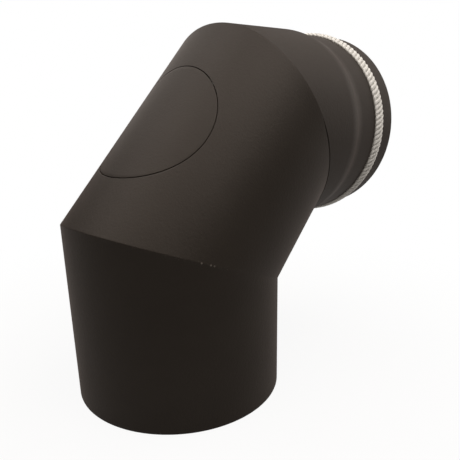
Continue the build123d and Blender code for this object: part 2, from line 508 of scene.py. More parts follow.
@dataclass(frozen=True)
class StudioFloor:
    """A pale floor that fades to the white backdrop and keeps the object's soft shadow."""

    name: str = "studio_floor"
    pale: Triple = (0.8, 0.8, 0.8)
    bounce: Triple = (0.32, 0.32, 0.32)
    shadow_share: float = 0.10
    near: float = 0.10
    far: float = 0.45

    def build(self, mirrored: float) -> bpy.types.Material:
        """Make the material.

        Args:
            mirrored: Share of the white backdrop that mirrored rays meet.

        Returns:
            The new material.
        """
        graph = Graph(self.name)
        seen = Value(graph, graph.node("ShaderNodeLightPath").outputs["Is Camera Ray"])
        close = 1 - graph.distance_from((0.0, 0.0, 0.0)).between(self.near, self.far)
        share = graph.backdrop_share(mirrored) - seen * close * self.shadow_share
        tone = graph.blend(seen, self.bounce, self.pale)
        matte = graph.node("ShaderNodeBsdfDiffuse", None, {"Color": tone})
        glow = graph.node("ShaderNodeEmission", None, {"Color": WHITE, "Strength": 1.0})
        mixed = graph.node(
            "ShaderNodeMixShader", None, {0: share, 1: matte.outputs[0], 2: glow.outputs[0]}
        )
        graph.node("ShaderNodeOutputMaterial", None, {"Surface": mixed.outputs[0]})
        return graph.block


# --- meshes ---


@dataclass
class MeshDraft:
    """Grids of points that become one mesh."""

    name: str
    points: list[np.ndarray] = field(default_factory=list)
    faces: list[tuple[int, ...]] = field(default_factory=list)
    slots: list[int] = field(default_factory=list)
    layers: dict[str, list[np.ndarray]] = field(default_factory=dict)
    count: int = 0

    def grid(
        self,
        points: np.ndarray,
        close_rows: bool = False,
        close_columns: bool = False,
        slot: int = 0,
        skip: np.ndarray | None = None,
        layers: dict[str, np.ndarray] | None = None,
    ) -> None:
        """Add a grid of quads.

        Args:
            points: Places, as rows by columns by 3.
            close_rows: Whether the last row joins the first.
            close_columns: Whether the last column joins the first.
            slot: Material index of its faces.
            skip: Marks the cells that are left open, as rows by columns.
            layers: Numbers stored on the points, by name.
        """
        rows, columns = points.shape[:2]
        start = self.count
        self.points.append(points.reshape(-1, 3))
        for name in set(self.layers) | set(layers or {}):
            stored = self.layers.setdefault(name, [np.zeros(start)] if start else [])
            given = (layers or {}).get(name)
            stored.append(np.zeros(rows * columns) if given is None else np.ravel(given))
        self.count += rows * columns
        for i in range(rows if close_rows else rows - 1):
            for j in range(columns if close_columns else columns - 1):
                if skip is not None and skip[i, j]:
                    continue
                below, right = (i + 1) % rows, (j + 1) % columns
                corners = ((i, j), (i, right), (below, right), (below, j))
                self.faces.append(tuple(start + a * columns + b for a, b in corners))
                self.slots.append(slot)

    def cap(self, ring: np.ndarray) -> None:
        """Close a ring of points with a fan to its middle."""
        middle = np.repeat(ring.mean(axis=0)[None, :], len(ring), axis=0)
        self.grid(np.stack([ring, middle]), close_columns=True)

    def build(self, materials: list[bpy.types.Material]) -> bpy.types.Object:
        """Weld the grids into one smooth mesh object.

        Args:
            materials: One material for each face slot.

        Returns:
            The new object.
        """
        mesh = bpy.data.meshes.new(self.name)
        mesh.from_pydata(np.concatenate(self.points).tolist(), [], self.faces)
        for name, values in self.layers.items():
            layer = mesh.attributes.new(name, "FLOAT", "POINT")
            layer.data.foreach_set("value", np.concatenate(values).astype(np.float32))
        for material in materials:
            mesh.materials.append(material)
        mesh.polygons.foreach_set("material_index", self.slots)
        work = bmesh.new()
        work.from_mesh(mesh)
        bmesh.ops.remove_doubles(work, verts=work.verts, dist=MERGE_DISTANCE)
        bmesh.ops.recalc_face_normals(work, faces=work.faces)
        work.to_mesh(mesh)
        work.free()
        mesh.shade_smooth()
        mesh.set_sharp_from_angle(angle=SHARP_ANGLE)
        piece = bpy.data.objects.new(self.name, mesh)
        bpy.context.scene.collection.objects.link(piece)
        return piece


def place_piece(piece: bpy.types.Object, body: Body, slot: Slot, node: str) -> None:
    """Make a piece ride on its body and stand for its CAD node.

    Args:
        piece: The finished object.
        body: The body it moves with.
        slot: Not used.
        node: The CAD node it replaces.
    """
    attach(piece, body.value)
    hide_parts(node)
    LOG.info("%s: %d faces", piece.name, len(piece.data.polygons))


# --- layout of the three tube segments ---

Ring = tuple[np.ndarray, float | np.ndarray]


class Side(Enum):
    """Finishes of a shell, by their place in its list of materials."""

    PAINTED = 0
    BARE = 1


@dataclass(frozen=True)
class LegFrame:
    """Axis of one straight segment, with the outward direction of its heel side."""

    origin: Vector
    axis: Vector
    heel: Vector

    def place(self, height: np.ndarray, side: np.ndarray, along: np.ndarray) -> np.ndarray:
        """Points in space from places in the segment's own directions.

        Args:
            height: Heights above the axis, towards the heel.
            side: Sideways places.
            along: Places along the axis.

        Returns:
            The points, with x, y and z last.
        """
        parts = [
            np.asarray(part, float)[..., None] for part in np.broadcast_arrays(height, side, along)
        ]
        across = np.array((0.0, 1.0, 0.0))
        turned = parts[0] * np.array(self.heel) + parts[1] * across + parts[2] * np.array(self.axis)
        return np.array(self.origin) + turned

    def place_rows(self, rows: np.ndarray) -> np.ndarray:
        """Points in space from rows that each hold heights, sides and places."""
        return self.place(rows[:, 0], rows[:, 1], rows[:, 2])


@dataclass(frozen=True)
class PipeLayout:
    """Axes, corners and radii of the segments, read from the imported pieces."""

    outer: float
    lower: LegFrame
    middle: LegFrame
    upper: LegFrame
    lower_length: float
    middle_length: float
    upper_length: float
    wall: float = 2 * MM
    corner_radius: float = 1.1 * MM
    corner_steps: int = 4
    crease_width: float = 0.7 * MM
    crease_depth: float = 1.2 * MM
    crease_lip: tuple[float, float] = (1.6, 1.0)
    crease_from: float = 0.20
    crease_blend: float = 0.22

    @classmethod
    def from_pieces(cls) -> "PipeLayout":
        """Work the layout out from the boxes of the three tube nodes.

        Returns:
            The layout.
        """
        slope = math.tan(MITRE_HALF_TURN)
        low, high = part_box("lower_leg")
        up_low, up_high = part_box("upper_leg")
        outer = (high.y - low.y) / 2
        lower_length = high.z - outer * slope
        upper_centre = (up_low.z + up_high.z) / 2
        rise = upper_centre - lower_length
        lean = math.sqrt(0.5)
        return cls(
            outer=outer,
            lower=LegFrame(Vector((0, 0, 0)), Vector((0, 0, 1)), Vector((-1, 0, 0))),
            middle=LegFrame(
                Vector((0, 0, lower_length)), Vector((lean, 0, lean)), Vector((-lean, 0, lean))
            ),
            upper=LegFrame(Vector((rise, 0, upper_centre)), Vector((1, 0, 0)), Vector((0, 0, 1))),
            lower_length=lower_length,
            middle_length=rise / lean,
            upper_length=up_high.x - rise,
        )

    @property
    def inner(self) -> float:
        """Inside radius of the tube."""
        return self.outer - self.wall

    @property
    def slope(self) -> float:
        """Rise of a mitre along the axis for each unit of height towards the heel."""
        return math.tan(MITRE_HALF_TURN)

    def end_row(self, radius: float, turn: np.ndarray, length: float, gap: float) -> np.ndarray:
        """Heights, sides and places of a ring that follows the mitre at a far end.

        Args:
            radius: The ring's radius.
            turn: Turns of its points from the heel.
            length: The segment's length.
            gap: How far the ring lies before the mitre plane.

        Returns:
            The ring.
        """
        height = radius * np.cos(turn)
        return np.stack([height, radius * np.sin(turn), length + self.slope * height - gap])

    def start_row(self, radius: float, turn: np.ndarray, gap: float) -> np.ndarray:
        """Heights, sides and places of a ring that follows the mitre at a near end.

        Args:
            radius: The ring's radius.
            turn: Turns of its points from the heel.
            gap: How far the ring lies past the mitre plane.

        Returns:
            The ring.
        """
        height = radius * np.cos(turn)
        return np.stack([height, radius * np.sin(turn), gap - self.slope * height])

    def flat_row(self, radius: float, turn: np.ndarray, along: float) -> np.ndarray:
        """Heights, sides and places of a square ring at one place along the axis."""
        height = radius * np.cos(turn)
        return np.stack([height, radius * np.sin(turn), np.full_like(height, along)])

    def lower_ridge(self, turn: float) -> Triple:
        """Point on the outside of the lower joint at one turn from the heel."""
        height, side, along = self.end_row(self.outer, np.array(turn), self.lower_length, 0.0)
        return tuple(float(part) for part in self.lower.place(height, side, along))

    def concave(self, turn: np.ndarray) -> np.ndarray:
        """Share of a crease in a mitre, 0 on the heel's ridge and 1 in the throat."""
        share = np.clip((self.crease_from - np.cos(turn)) / self.crease_blend, 0, 1)
        return share * share * (3 - 2 * share)

    def _corner(
        self, turn: np.ndarray, creased: bool
    ) -> list[tuple[np.ndarray, np.ndarray, np.ndarray]]:
        """Steps from the straight wall to the mitre plane.

        Args:
            turn: Turns of the columns from the heel.
            creased: Whether the throat side has an open crease.

        Returns:
            Drop, distance to the plane and inset of each step.
        """
        share = self.concave(turn) if creased else 0 * turn
        wide, narrow = self.crease_lip
        steps = []
        for step in range(self.corner_steps + 1):
            swing = MITRE_HALF_TURN * step / self.corner_steps
            drop = self.corner_radius * (1 - math.cos(swing))
            reach = self.corner_radius * (self.slope - math.sin(swing))
            lip, inset = 0.0, self.crease_depth
            if step < self.corner_steps:
                narrowed = (wide - narrow) * step / (self.corner_steps - 1)
                lip, inset = self.crease_width * (wide - narrowed), 0.0
            steps.append((drop * (1 - share), reach + share * (lip - reach), inset * share))
        return steps

    def joint_rings(
        self, turn: np.ndarray, length: float | None = None, creased: bool = False
    ) -> list[np.ndarray]:
        """Rings of one segment's half of a joint, in order along its axis.

        Args:
            turn: Turns of the columns from the heel.
            length: The segment's length for its far end, or None for its near end.
            creased: Whether the throat side has an open crease.

        Returns:
            The rings, from the wall to the mitre plane or from the plane to the wall.
        """
        near = length is None
        rings = []
        for drop, reach, inset in self._corner(turn, creased):
            radius = self.outer - inset
            if near:
                ring = self.start_row(radius, turn, reach)
            else:
                ring = self.end_row(radius, turn, length, reach)
            ring[0] -= drop
            rings.append(ring)
        rise = self.slope * rings[-1][0]
        rings[-1][2] = -rise if near else length + rise
        return rings[::-1] if near else rings


@dataclass(frozen=True)
class HatchOutline:
    """The hatch's round outline, drawn on the flat sheet before it is rolled."""

    layout: PipeLayout
    radius: float
    centre: float
    eased_share: float = 0.3

    @classmethod
    def from_cover(cls, layout: PipeLayout, gap: float) -> "HatchOutline":
        """Take the outline from the cover's CAD node.

        Args:
            layout: The layout of the tube segments.
            gap: How much wider than the cover it is, all round.

        Returns:
            The outline.
        """
        low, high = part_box("hatch_cover")
        radius = layout.outer * math.asin((high.y - low.y) / 2 / layout.outer)
        return cls(layout, radius + gap, layout.middle_length / 2)

    def at(self, turn: np.ndarray, radius: float) -> tuple[np.ndarray, np.ndarray]:
        """Places along the middle axis and sideways of points on a circle of the flat sheet."""
        return self.rolled(radius * np.cos(turn), radius * np.sin(turn))

    def rolled(self, first: np.ndarray, second: np.ndarray) -> tuple[np.ndarray, np.ndarray]:
        """Places along the middle axis and sideways of points of the flat sheet."""
        side = self.layout.outer * np.sin(second / self.layout.outer)
        return self.centre + first, side

    def on_wall(
        self, turn: np.ndarray, radius: float, level: float, sink: float = 0.0
    ) -> np.ndarray:
        """Heights, sides and places of a circle of the flat sheet on a rolled wall.

        Args:
            turn: Turns of the points round the circle.
            radius: The circle's radius.
            level: The wall's radius.
            sink: How far the circle is sunk below the wall.

        Returns:
            The ring.
        """
        along, side = self.at(turn, radius)
        return np.stack([np.sqrt(level**2 - side**2) - sink, side, along])

    def add_cut_edge(self, draft: MeshDraft, turn: np.ndarray, easing: float) -> None:
        """Add the cut edge through the sheet, with its outer corner eased.

        Args:
            draft: The mesh it goes into.
            turn: Turns of its columns.
            easing: How far the corner is eased, below zero for a disc's own rim.
        """
        outer, depth, part = self.layout.outer, abs(easing), self.eased_share
        rings = np.stack(
            [
                self.on_wall(turn, self.radius + easing, outer),
                self.on_wall(turn, self.radius + easing * part, outer, depth * part),
                self.on_wall(turn, self.radius, outer, depth),
                self.on_wall(turn, self.radius, self.layout.inner),
            ]
        )
        wear = np.repeat([[RIM_WEAR], [RIM_WEAR], [RIM_WEAR / 2], [0.0]], turn.size, axis=1)
        points = self.layout.middle.place_rows(rings)
        draft.grid(points, close_columns=True, layers={"edge": wear})


def square_border(half: float, cells: int) -> tuple[np.ndarray, np.ndarray]:
    """Points round a square patch of a grid, in order.

    Args:
        half: Half the square's side.
        cells: Grid cells along a side.

    Returns:
        The points' places along the first and the second direction.
    """
    steps = np.linspace(-half, half, cells + 1)
    low, high = np.full(cells, -half), np.full(cells, half)
    first = np.concatenate([low, steps[:-1], high, steps[:0:-1]])
    second = np.concatenate([steps[:-1], high, steps[:0:-1], low])
    return first, second


def round_square(first: np.ndarray, second: np.ndarray) -> tuple[np.ndarray, np.ndarray]:
    """Points of a square from -1 to 1, moved so that it becomes a disc."""
    return first * np.sqrt(1 - second**2 / 2), second * np.sqrt(1 - first**2 / 2)


@dataclass
class PaintedShells:
    """The three tube segments as painted sheet-metal shells."""

    layout: PipeLayout
    paint: bpy.types.Material
    inside: bpy.types.Material
    patch_half: float = 54 * MM
    patch_cells: int = 44
    rest_cells: int = 212
    rim_radius: float = 0.45 * MM
    rim_steps: int = 3
    socket_radius: float = 75.55 * MM
    socket_depth: float = 55 * MM
    socket_lead: float = 2 * MM
    hatch_edge: float = 0.12 * MM
    wear_reach: float = 2.2 * MM
    margin: float = 1.5 * MM
    straight_shares: tuple[float, ...] = (0.1, 0.3, 0.5, 0.7, 0.9)
    ring_shares: tuple[float, ...] = (0.0, 0.05, 0.16, 0.34, 0.55, 0.77, 1.0)

    def __post_init__(self) -> None:
        """Work out the columns that all three segments share."""
        reach = self.patch_half / self.layout.outer
        patch = np.linspace(-reach, reach, self.patch_cells + 1)
        rest = np.linspace(reach, TURN - reach, self.rest_cells + 1)
        self.turns = np.concatenate([patch, rest[1:-1]])
        self.setback = self.layout.corner_radius * self.layout.slope + self.wear_reach

    def square_rings(self, pairs: list[tuple[float, float]], wear: float = 0.0) -> list[Ring]:
        """Square rings from radius and place pairs, all with the same edge wear."""
        return [(self.layout.flat_row(r, self.turns, place), wear) for r, place in pairs]

    def joint(self, length: float | None = None, creased: bool = False) -> list[Ring]:
        """Rings of one half of a joint, worn where it is a ridge.

        Args:
            length: The segment's length for its far end, or None for its near end.
            creased: Whether the throat side has an open crease.

        Returns:
            The rings with their wear.
        """
        wear = 1 - self.layout.concave(self.turns)
        return [(ring, wear) for ring in self.layout.joint_rings(self.turns, length, creased)]

    def rim(self, radius: float, along: float, outward: float, forward: float) -> list[Ring]:
        """Worn rings of a quarter round from a rim's face to its side.

        Args:
            radius: Radius of the side that the round ends on.
            along: Place of the rim's face on the axis.
            outward: 1 for an outer side, -1 for an inner one.
            forward: 1 if the wall runs on from the face to larger places, -1 if to smaller.

        Returns:
            The rings from the face to the side.
        """
        pairs = []
        for step in range(self.rim_steps + 1):
            swing = math.pi / 2 * step / self.rim_steps
            drop = self.rim_radius * (1 - math.sin(swing))
            run = self.rim_radius * (1 - math.cos(swing))
            pairs.append((radius - outward * drop, along + forward * run))
        return self.square_rings(pairs, 1.0)

    def emit(
        self,
        draft: MeshDraft,
        leg: LegFrame,
        rings: list[Ring],
        side: Side,
        skip: np.ndarray | None = None,
    ) -> None:
        """Add a strip of wall.

        Args:
            draft: The mesh it goes into.
            leg: The segment it belongs to.
            rings: Its rings with their wear.
            side: The finish it takes.
            skip: Marks the cells that are left open.
        """
        rows = np.stack([ring for ring, _ in rings])
        wear = np.stack([weight + 0 * rows[0, 0] for _, weight in rings])
        points, layers = leg.place_rows(rows), {"edge": wear}
        draft.grid(points, close_columns=True, slot=side.value, skip=skip, layers=layers)

    def lower(self) -> bpy.types.Object:
        """Build the lower leg with its sized socket.

        Returns:
            The new object.
        """
        lay, turns = self.layout, self.turns
        draft = MeshDraft("lower_leg_shell")
        throat = lay.lower_length - lay.outer * lay.slope
        places = (self.wear_reach, *(share * throat for share in self.straight_shares))
        wall = self.rim(lay.outer, 0.0, 1, 1)
        wall += self.square_rings([(lay.outer, place) for place in places])
        wall.append((lay.end_row(lay.outer, turns, lay.lower_length, self.setback), 0.0))
        wall += self.joint(lay.lower_length)
        self.emit(draft, lay.lower, wall, Side.PAINTED)
        bore = self.rim(self.socket_radius, 0.0, -1, 1)
        stop = (lay.inner, self.socket_depth + self.socket_lead)
        bore += self.square_rings([(self.socket_radius, self.socket_depth), stop])
        bore.append((lay.end_row(lay.inner, turns, lay.lower_length, 0.0), 0.0))
        self.emit(draft, lay.lower, bore, Side.BARE)
        self.emit(draft, lay.lower, [wall[0], bore[0]], Side.PAINTED)
        self.emit(draft, lay.lower, [wall[-1], bore[-1]], Side.BARE)
        return draft.build([self.paint, self.inside])

    def _middle_rings(self, radius: float, setback: float) -> list[Ring]:
        """Rings of the middle segment's wall, with whole cells along the hatch patch.

        Args:
            radius: The wall's radius.
            setback: How far the first and the last ring keep from the mitres.

        Returns:
            The rings.
        """
        lay, turns = self.layout, self.turns
        centre = lay.middle_length / 2
        first = lay.start_row(radius, turns, setback)
        last = lay.end_row(radius, turns, lay.middle_length, setback)
        low = np.maximum(centre - self.patch_half, first[2] + self.margin)
        high = np.minimum(centre + self.patch_half, last[2] - self.margin)
        rings = [first]
        for step in range(self.patch_cells + 1):
            ring = lay.flat_row(radius, turns, 0.0)
            ring[2] = low + (high - low) * step / self.patch_cells
            rings.append(ring)
        return [(ring, 0.0) for ring in (*rings, last)]

    def _hatch_rings(
        self, draft: MeshDraft, outline: HatchOutline, level: float, easing: float, side: Side
    ) -> np.ndarray:
        """Fill the patch between its square border and the hatch hole.

        Args:
            draft: The mesh it goes into.
            outline: The hole's outline.
            level: The wall's radius.
            easing: How far the hole's corner is eased on this wall.
            side: The finish it takes.

        Returns:
            The turns of the hole's points.
        """
        first, second = square_border(self.patch_half, self.patch_cells)
        along, turns = outline.centre + first, second / self.layout.outer
        bearing = np.arctan2(second, first)
        rim_along, rim_side = outline.at(bearing, outline.radius + easing)
        rim_turn = np.arcsin(rim_side / level)
        rings, wear = [], []
        for share in self.ring_shares:
            place = rim_along + (along - rim_along) * share
            turn = rim_turn + (turns - rim_turn) * share
            rings.append(
                self.layout.middle.place(level * np.cos(turn), level * np.sin(turn), place)
            )
            wear.append(np.full_like(place, 0.0 if share else RIM_WEAR))
        layers = {"edge": np.stack(wear)}
        draft.grid(np.stack(rings), close_columns=True, slot=side.value, layers=layers)
        return bearing

    def _cut_out(self, before: int, count: int) -> np.ndarray:
        """Mark the cells of the hatch patch in a wall.

        Args:
            before: Rows of cells before the patch.
            count: Rings of the wall.

        Returns:
            The marks, as rows by columns.
        """
        skip = np.zeros((count, len(self.turns)), bool)
        skip[before : before + self.patch_cells, : self.patch_cells] = True
        return skip

    def middle(self, outline: HatchOutline) -> bpy.types.Object:
        """Build the middle segment with its hatch hole.

        Args:
            outline: The hole's outline.

        Returns:
            The new object.
        """
        lay = self.layout
        draft = MeshDraft("middle_segment_shell")
        near, far = self.joint(), self.joint(lay.middle_length, True)
        wall = near + self._middle_rings(lay.outer, self.setback) + far
        skip = self._cut_out(len(near) + 1, len(wall))
        self.emit(draft, lay.middle, wall, Side.PAINTED, skip)
        bearing = self._hatch_rings(draft, outline, lay.outer, self.hatch_edge, Side.PAINTED)
        bore = self._middle_rings(lay.inner, 0.0)
        self.emit(draft, lay.middle, bore, Side.BARE, self._cut_out(1, len(bore)))
        self._hatch_rings(draft, outline, lay.inner, 0.0, Side.BARE)
        for end in (0, -1):
            self.emit(draft, lay.middle, [wall[end], bore[end]], Side.BARE)
        outline.add_cut_edge(draft, bearing, self.hatch_edge)
        return draft.build([self.paint, self.inside])


@dataclass
class DrawnInLeg:
    """The upper leg's formed end: shoulder, spigot, rolled rope groove and end land."""

    shells: PaintedShells
    shoulder_start: float = 34 * MM
    shoulder_length: float = 21 * MM
    shoulder_bend: float = 10 * MM
    spigot_step: float = 3.1 * MM
    rope_centre: float = 79 * MM
    rope_half_width: float = 6 * MM
    rope_bury: float = 3.7 * MM
    rope_gap: float = 0.15 * MM
    lead: float = 0.25 * MM
    groove_steps: int = 12
    bend_steps: int = 8

    def _bend(
        self, start: tuple[float, float], end_drop: float, length: float
    ) -> list[tuple[float, float]]:
        """Radius and place pairs of a soft bend that leaves the wall's line.

        Args:
            start: Radius and place where it begins.
            end_drop: How far it has left the line at its end.
            length: Its length along the axis.

        Returns:
            The pairs.
        """
        pairs = []
        for step in range(self.bend_steps + 1):
            share = step / self.bend_steps
            pairs.append((start[0] - end_drop * share**2, start[1] + length * share))
        return pairs

    def profile(self, depth: float) -> list[tuple[float, float]]:
        """Radius and place pairs of the wall, from the shoulder to the groove's far side.

        Args:
            depth: Depth below the wall's outer face.

        Returns:
            The pairs.
        """
        tube = self.shells.layout.outer - depth
        level = tube - self.spigot_step
        slope_run = self.shoulder_length - self.shoulder_bend
        drop = self.spigot_step * self.shoulder_bend / (2 * slope_run)
        end = self.shoulder_start + self.shoulder_length
        pairs = self._bend((tube, self.shoulder_start), drop, self.shoulder_bend)
        pairs += self._bend((level, end), -drop, -self.shoulder_bend)[::-1]
        groove_depth = self.rope_bury + self.rope_gap
        half = self.rope_half_width + self.rope_gap
        arc = (half**2 + groove_depth**2) / (2 * groove_depth)
        hub = level + depth - groove_depth + arc
        arc += depth
        swing = math.acos((hub - level) / arc)
        for step in range(self.groove_steps + 1):
            angle = swing * (2 * step / self.groove_steps - 1)
            pairs.append((hub - arc * math.cos(angle), self.rope_centre + arc * math.sin(angle)))
        return pairs

    def build(self) -> bpy.types.Object:
        """Build the upper leg.

        Returns:
            The new object.
        """
        shells, lay, turns = self.shells, self.shells.layout, self.shells.turns
        draft = MeshDraft("upper_leg_shell")
        spigot, end = lay.outer - self.spigot_step, lay.upper_length
        worn = lay.start_row(lay.outer, turns, shells.setback)
        worn[2] = np.minimum(worn[2], self.shoulder_start - 2 * self.lead)
        wall = shells.joint(creased=True) + [(worn, 0.0)]
        lead_in = (lay.outer, self.shoulder_start - self.lead)
        land = (spigot, end - shells.wear_reach)
        wall += shells.square_rings([lead_in, *self.profile(0.0), land])
        wall += reversed(shells.rim(spigot, end, 1, -1))
        shells.emit(draft, lay.upper, wall, Side.PAINTED)
        bore = [(lay.start_row(lay.inner, turns, 0.0), 0.0)]
        bore += shells.square_rings(self.profile(lay.wall))
        bore += reversed(shells.rim(spigot - lay.wall, end, -1, -1))
        shells.emit(draft, lay.upper, bore, Side.BARE)
        shells.emit(draft, lay.upper, [wall[-1], bore[-1]], Side.PAINTED)
        shells.emit(draft, lay.upper, [wall[0], bore[0]], Side.BARE)
        return draft.build([shells.paint, shells.inside])


@dataclass
class HatchCover:
    """The curved disc that closes the hatch flush with the middle segment."""

    layout: PipeLayout
    outline: HatchOutline
    paint: bpy.types.Material
    inside: bpy.types.Material
    cells: int = 40
    edge: float = 0.12 * MM

    def _face(self, level: float, radius: float) -> np.ndarray:
        """A quad grid over the whole disc on one face of the sheet.

        Args:
            level: The face's radius from the segment's axis.
            radius: The disc's radius.

        Returns:
            The grid's points.
        """
        steps = np.linspace(-1, 1, self.cells + 1)
        first, second = round_square(*np.meshgrid(steps, steps, indexing="ij"))
        along, side = self.outline.rolled(radius * first, radius * second)
        return self.layout.middle.place(np.sqrt(level**2 - side**2), side, along)

    def build(self) -> bpy.types.Object:
        """Build the cover.

        Returns:
            The new object.
        """
        radius = self.outline.radius
        draft = MeshDraft("hatch_cover_disc")
        draft.grid(self._face(self.layout.outer, radius - self.edge), slot=Side.PAINTED.value)
        draft.grid(self._face(self.layout.inner, radius), slot=Side.BARE.value)
        first, second = round_square(*square_border(1.0, self.cells))
        self.outline.add_cut_edge(draft, np.arctan2(second, first), -self.edge)
        return draft.build([self.paint, self.inside])


@dataclass
class RopeSeal:
    """The knitted sealing rope in the spigot's groove."""

    layout: PipeLayout
    fibre: bpy.types.Material
    half_width: float
    centre: float
    crown: float
    seat: float = 73.9 * MM
    bury: float = 3.6 * MM
    strands: int = 120
    samples: int = 12
    section_cells: int = 44
    lay_angle: float = math.radians(27)
    strand_depth: float = 1.05 * MM
    stitch_pitch: float = 6.0 * MM
    stitch_shift: float = 2.0 * MM
    squareness: float = 0.85
    ridge_share: float = 0.62
    stitch_share: float = 0.13
    knot_share: float = 0.25
    slack: float = 0.04 * MM
    joint_turn: float = math.radians(-75)
    joint_width: float = 1.6 * MM
    joint_flattening: float = 0.3
    threads_along: float = 900.0
    threads_across: float = 1.6

    @classmethod
    def from_node(cls, layout: PipeLayout, fibre: bpy.types.Material) -> "RopeSeal":
        """Take the rope's place and size from its CAD node.

        Args:
            layout: The layout of the tube segments.
            fibre: The rope's finish.

        Returns:
            The rope.
        """
        low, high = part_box("rope_seal")
        return cls(
            layout,
            fibre,
            half_width=(high.x - low.x) / 2,
            centre=(high.x + low.x) / 2 - layout.upper.origin.x,
            crown=(high.y - low.y) / 2,
        )

    def build(self) -> bpy.types.Object:
        """Build the rope as one ring whose strands are modelled.

        Returns:
            The new object.
        """
        rows, columns = self.strands * self.samples, self.section_cells
        turn = np.linspace(0, TURN, rows, endpoint=False)[:, None]
        section = np.linspace(0, TURN, columns, endpoint=False)[None, :]
        flat, steep = np.cos(section), np.sin(section)
        depth = np.where(steep > 0, self.crown - self.seat, self.bury)
        across = self.half_width * np.sign(flat) * np.abs(flat) ** self.squareness
        rise = depth * steep
        steps = np.hypot(np.gradient(across, axis=1), np.gradient(rise, axis=1))
        arc = np.cumsum(steps, axis=1) - steps[:, :1]
        top = arc[0, columns // 4]
        lean = self.strands * math.tan(self.lay_angle) / self.crown
        phase = self.strands * turn + lean * (arc - top)
        valley = 1 - np.abs(np.sin(phase / 2))
        stitch = TURN * (arc - top - self.stitch_shift) / self.stitch_pitch
        between = 0.5 + 0.5 * np.cos(stitch)
        knot = self.knot_share * valley * between
        crest = 1 - self.ridge_share * valley - self.stitch_share * between - knot
        off_joint = (turn - self.joint_turn % TURN) * self.crown / self.joint_width
        flattened = 1 - self.joint_flattening * np.exp(-(off_joint**2))
        loose = self.slack * (1 + np.sin(7 * turn + 1.3) * steep)
        inset = self.strand_depth * (1 - crest) * flattened + loose
        outward, upward = flat / self.half_width, steep / depth
        length = np.hypot(outward, upward)
        place = self.centre + across - inset * outward / length
        radius = self.seat + rise - inset * upward / length
        points = self.layout.upper.place(radius * np.cos(turn), radius * np.sin(turn), place)
        whole = np.ones_like(points[..., 0])
        layers = {
            # crest drives the rope's painted shade between the strands and its painted highlight on
            # them.
            "crest": crest * whole,
            # edge marks where the rope tucks into the groove, for its painted shade.
            "edge": np.abs(flat) ** 6 * whole,
            "along": arc * self.threads_along * whole,
            "across": phase * self.threads_across * whole,
        }
        draft = MeshDraft("rope_seal_knit")
        draft.grid(points, close_rows=True, close_columns=True, layers=layers)
        return draft.build([self.fibre])


@dataclass
class SeamBead:
    """The root weld inside a mitred joint: a rippled bead that lies half on each tube."""

    layout: PipeLayout
    metal: bpy.types.Material
    half_width: float = 2.3 * MM
    height: float = 0.85 * MM
    ripples: int = 270
    samples: int = 6
    cells: int = 12
    foot: float = 0.1 * MM
    foot_share: float = 0.9
    arch: float = 1.1
    crown_power: float = 0.55

    def build(
        self, name: str, before: LegFrame, length: float, after: LegFrame
    ) -> bpy.types.Object:
        """Build the bead.

        Args:
            name: The piece's name.
            before: The leg below the joint.
            length: That leg's length to the joint.
            after: The leg above the joint.

        Returns:
            The new object.
        """
        lay = self.layout
        turn = np.linspace(0, TURN, self.ripples * self.samples, endpoint=False)[:, None]
        share = np.linspace(-1, 1, self.cells + 1)[None, :]
        wander = 0.5 * np.sin(9 * turn + 1) + 0.3 * np.sin(23 * turn) + 0.2 * np.sin(41 * turn + 2)
        phase = self.ripples * turn / 2 - self.arch * share**2
        ripple = np.abs(np.sin(phase))
        crown = (1 - share**2) ** self.crown_power
        height = self.height * crown * (0.80 + 0.14 * ripple + 0.06 * wander)
        reach = self.half_width * (0.93 + 0.04 * ripple + 0.03 * wander) * share
        back = np.array([[1.0, 0.0, -1.0]]) * self.half_width * self.foot_share + 0 * turn
        reach = np.concatenate([reach, back], axis=1)
        buried = np.full_like(back, lay.inner + self.foot)
        radius = np.concatenate([lay.inner - height, buried], axis=1)
        up, side = radius * np.cos(turn), radius * np.sin(turn)
        low = before.place(up, side, length + lay.slope * up + np.minimum(reach, 0))
        high = after.place(up, side, np.maximum(reach, 0) - lay.slope * up)
        points = np.where((reach > 0)[..., None], high, low)
        draft = MeshDraft(name)
        draft.grid(points, close_rows=True, close_columns=True)
        return draft.build([self.metal])


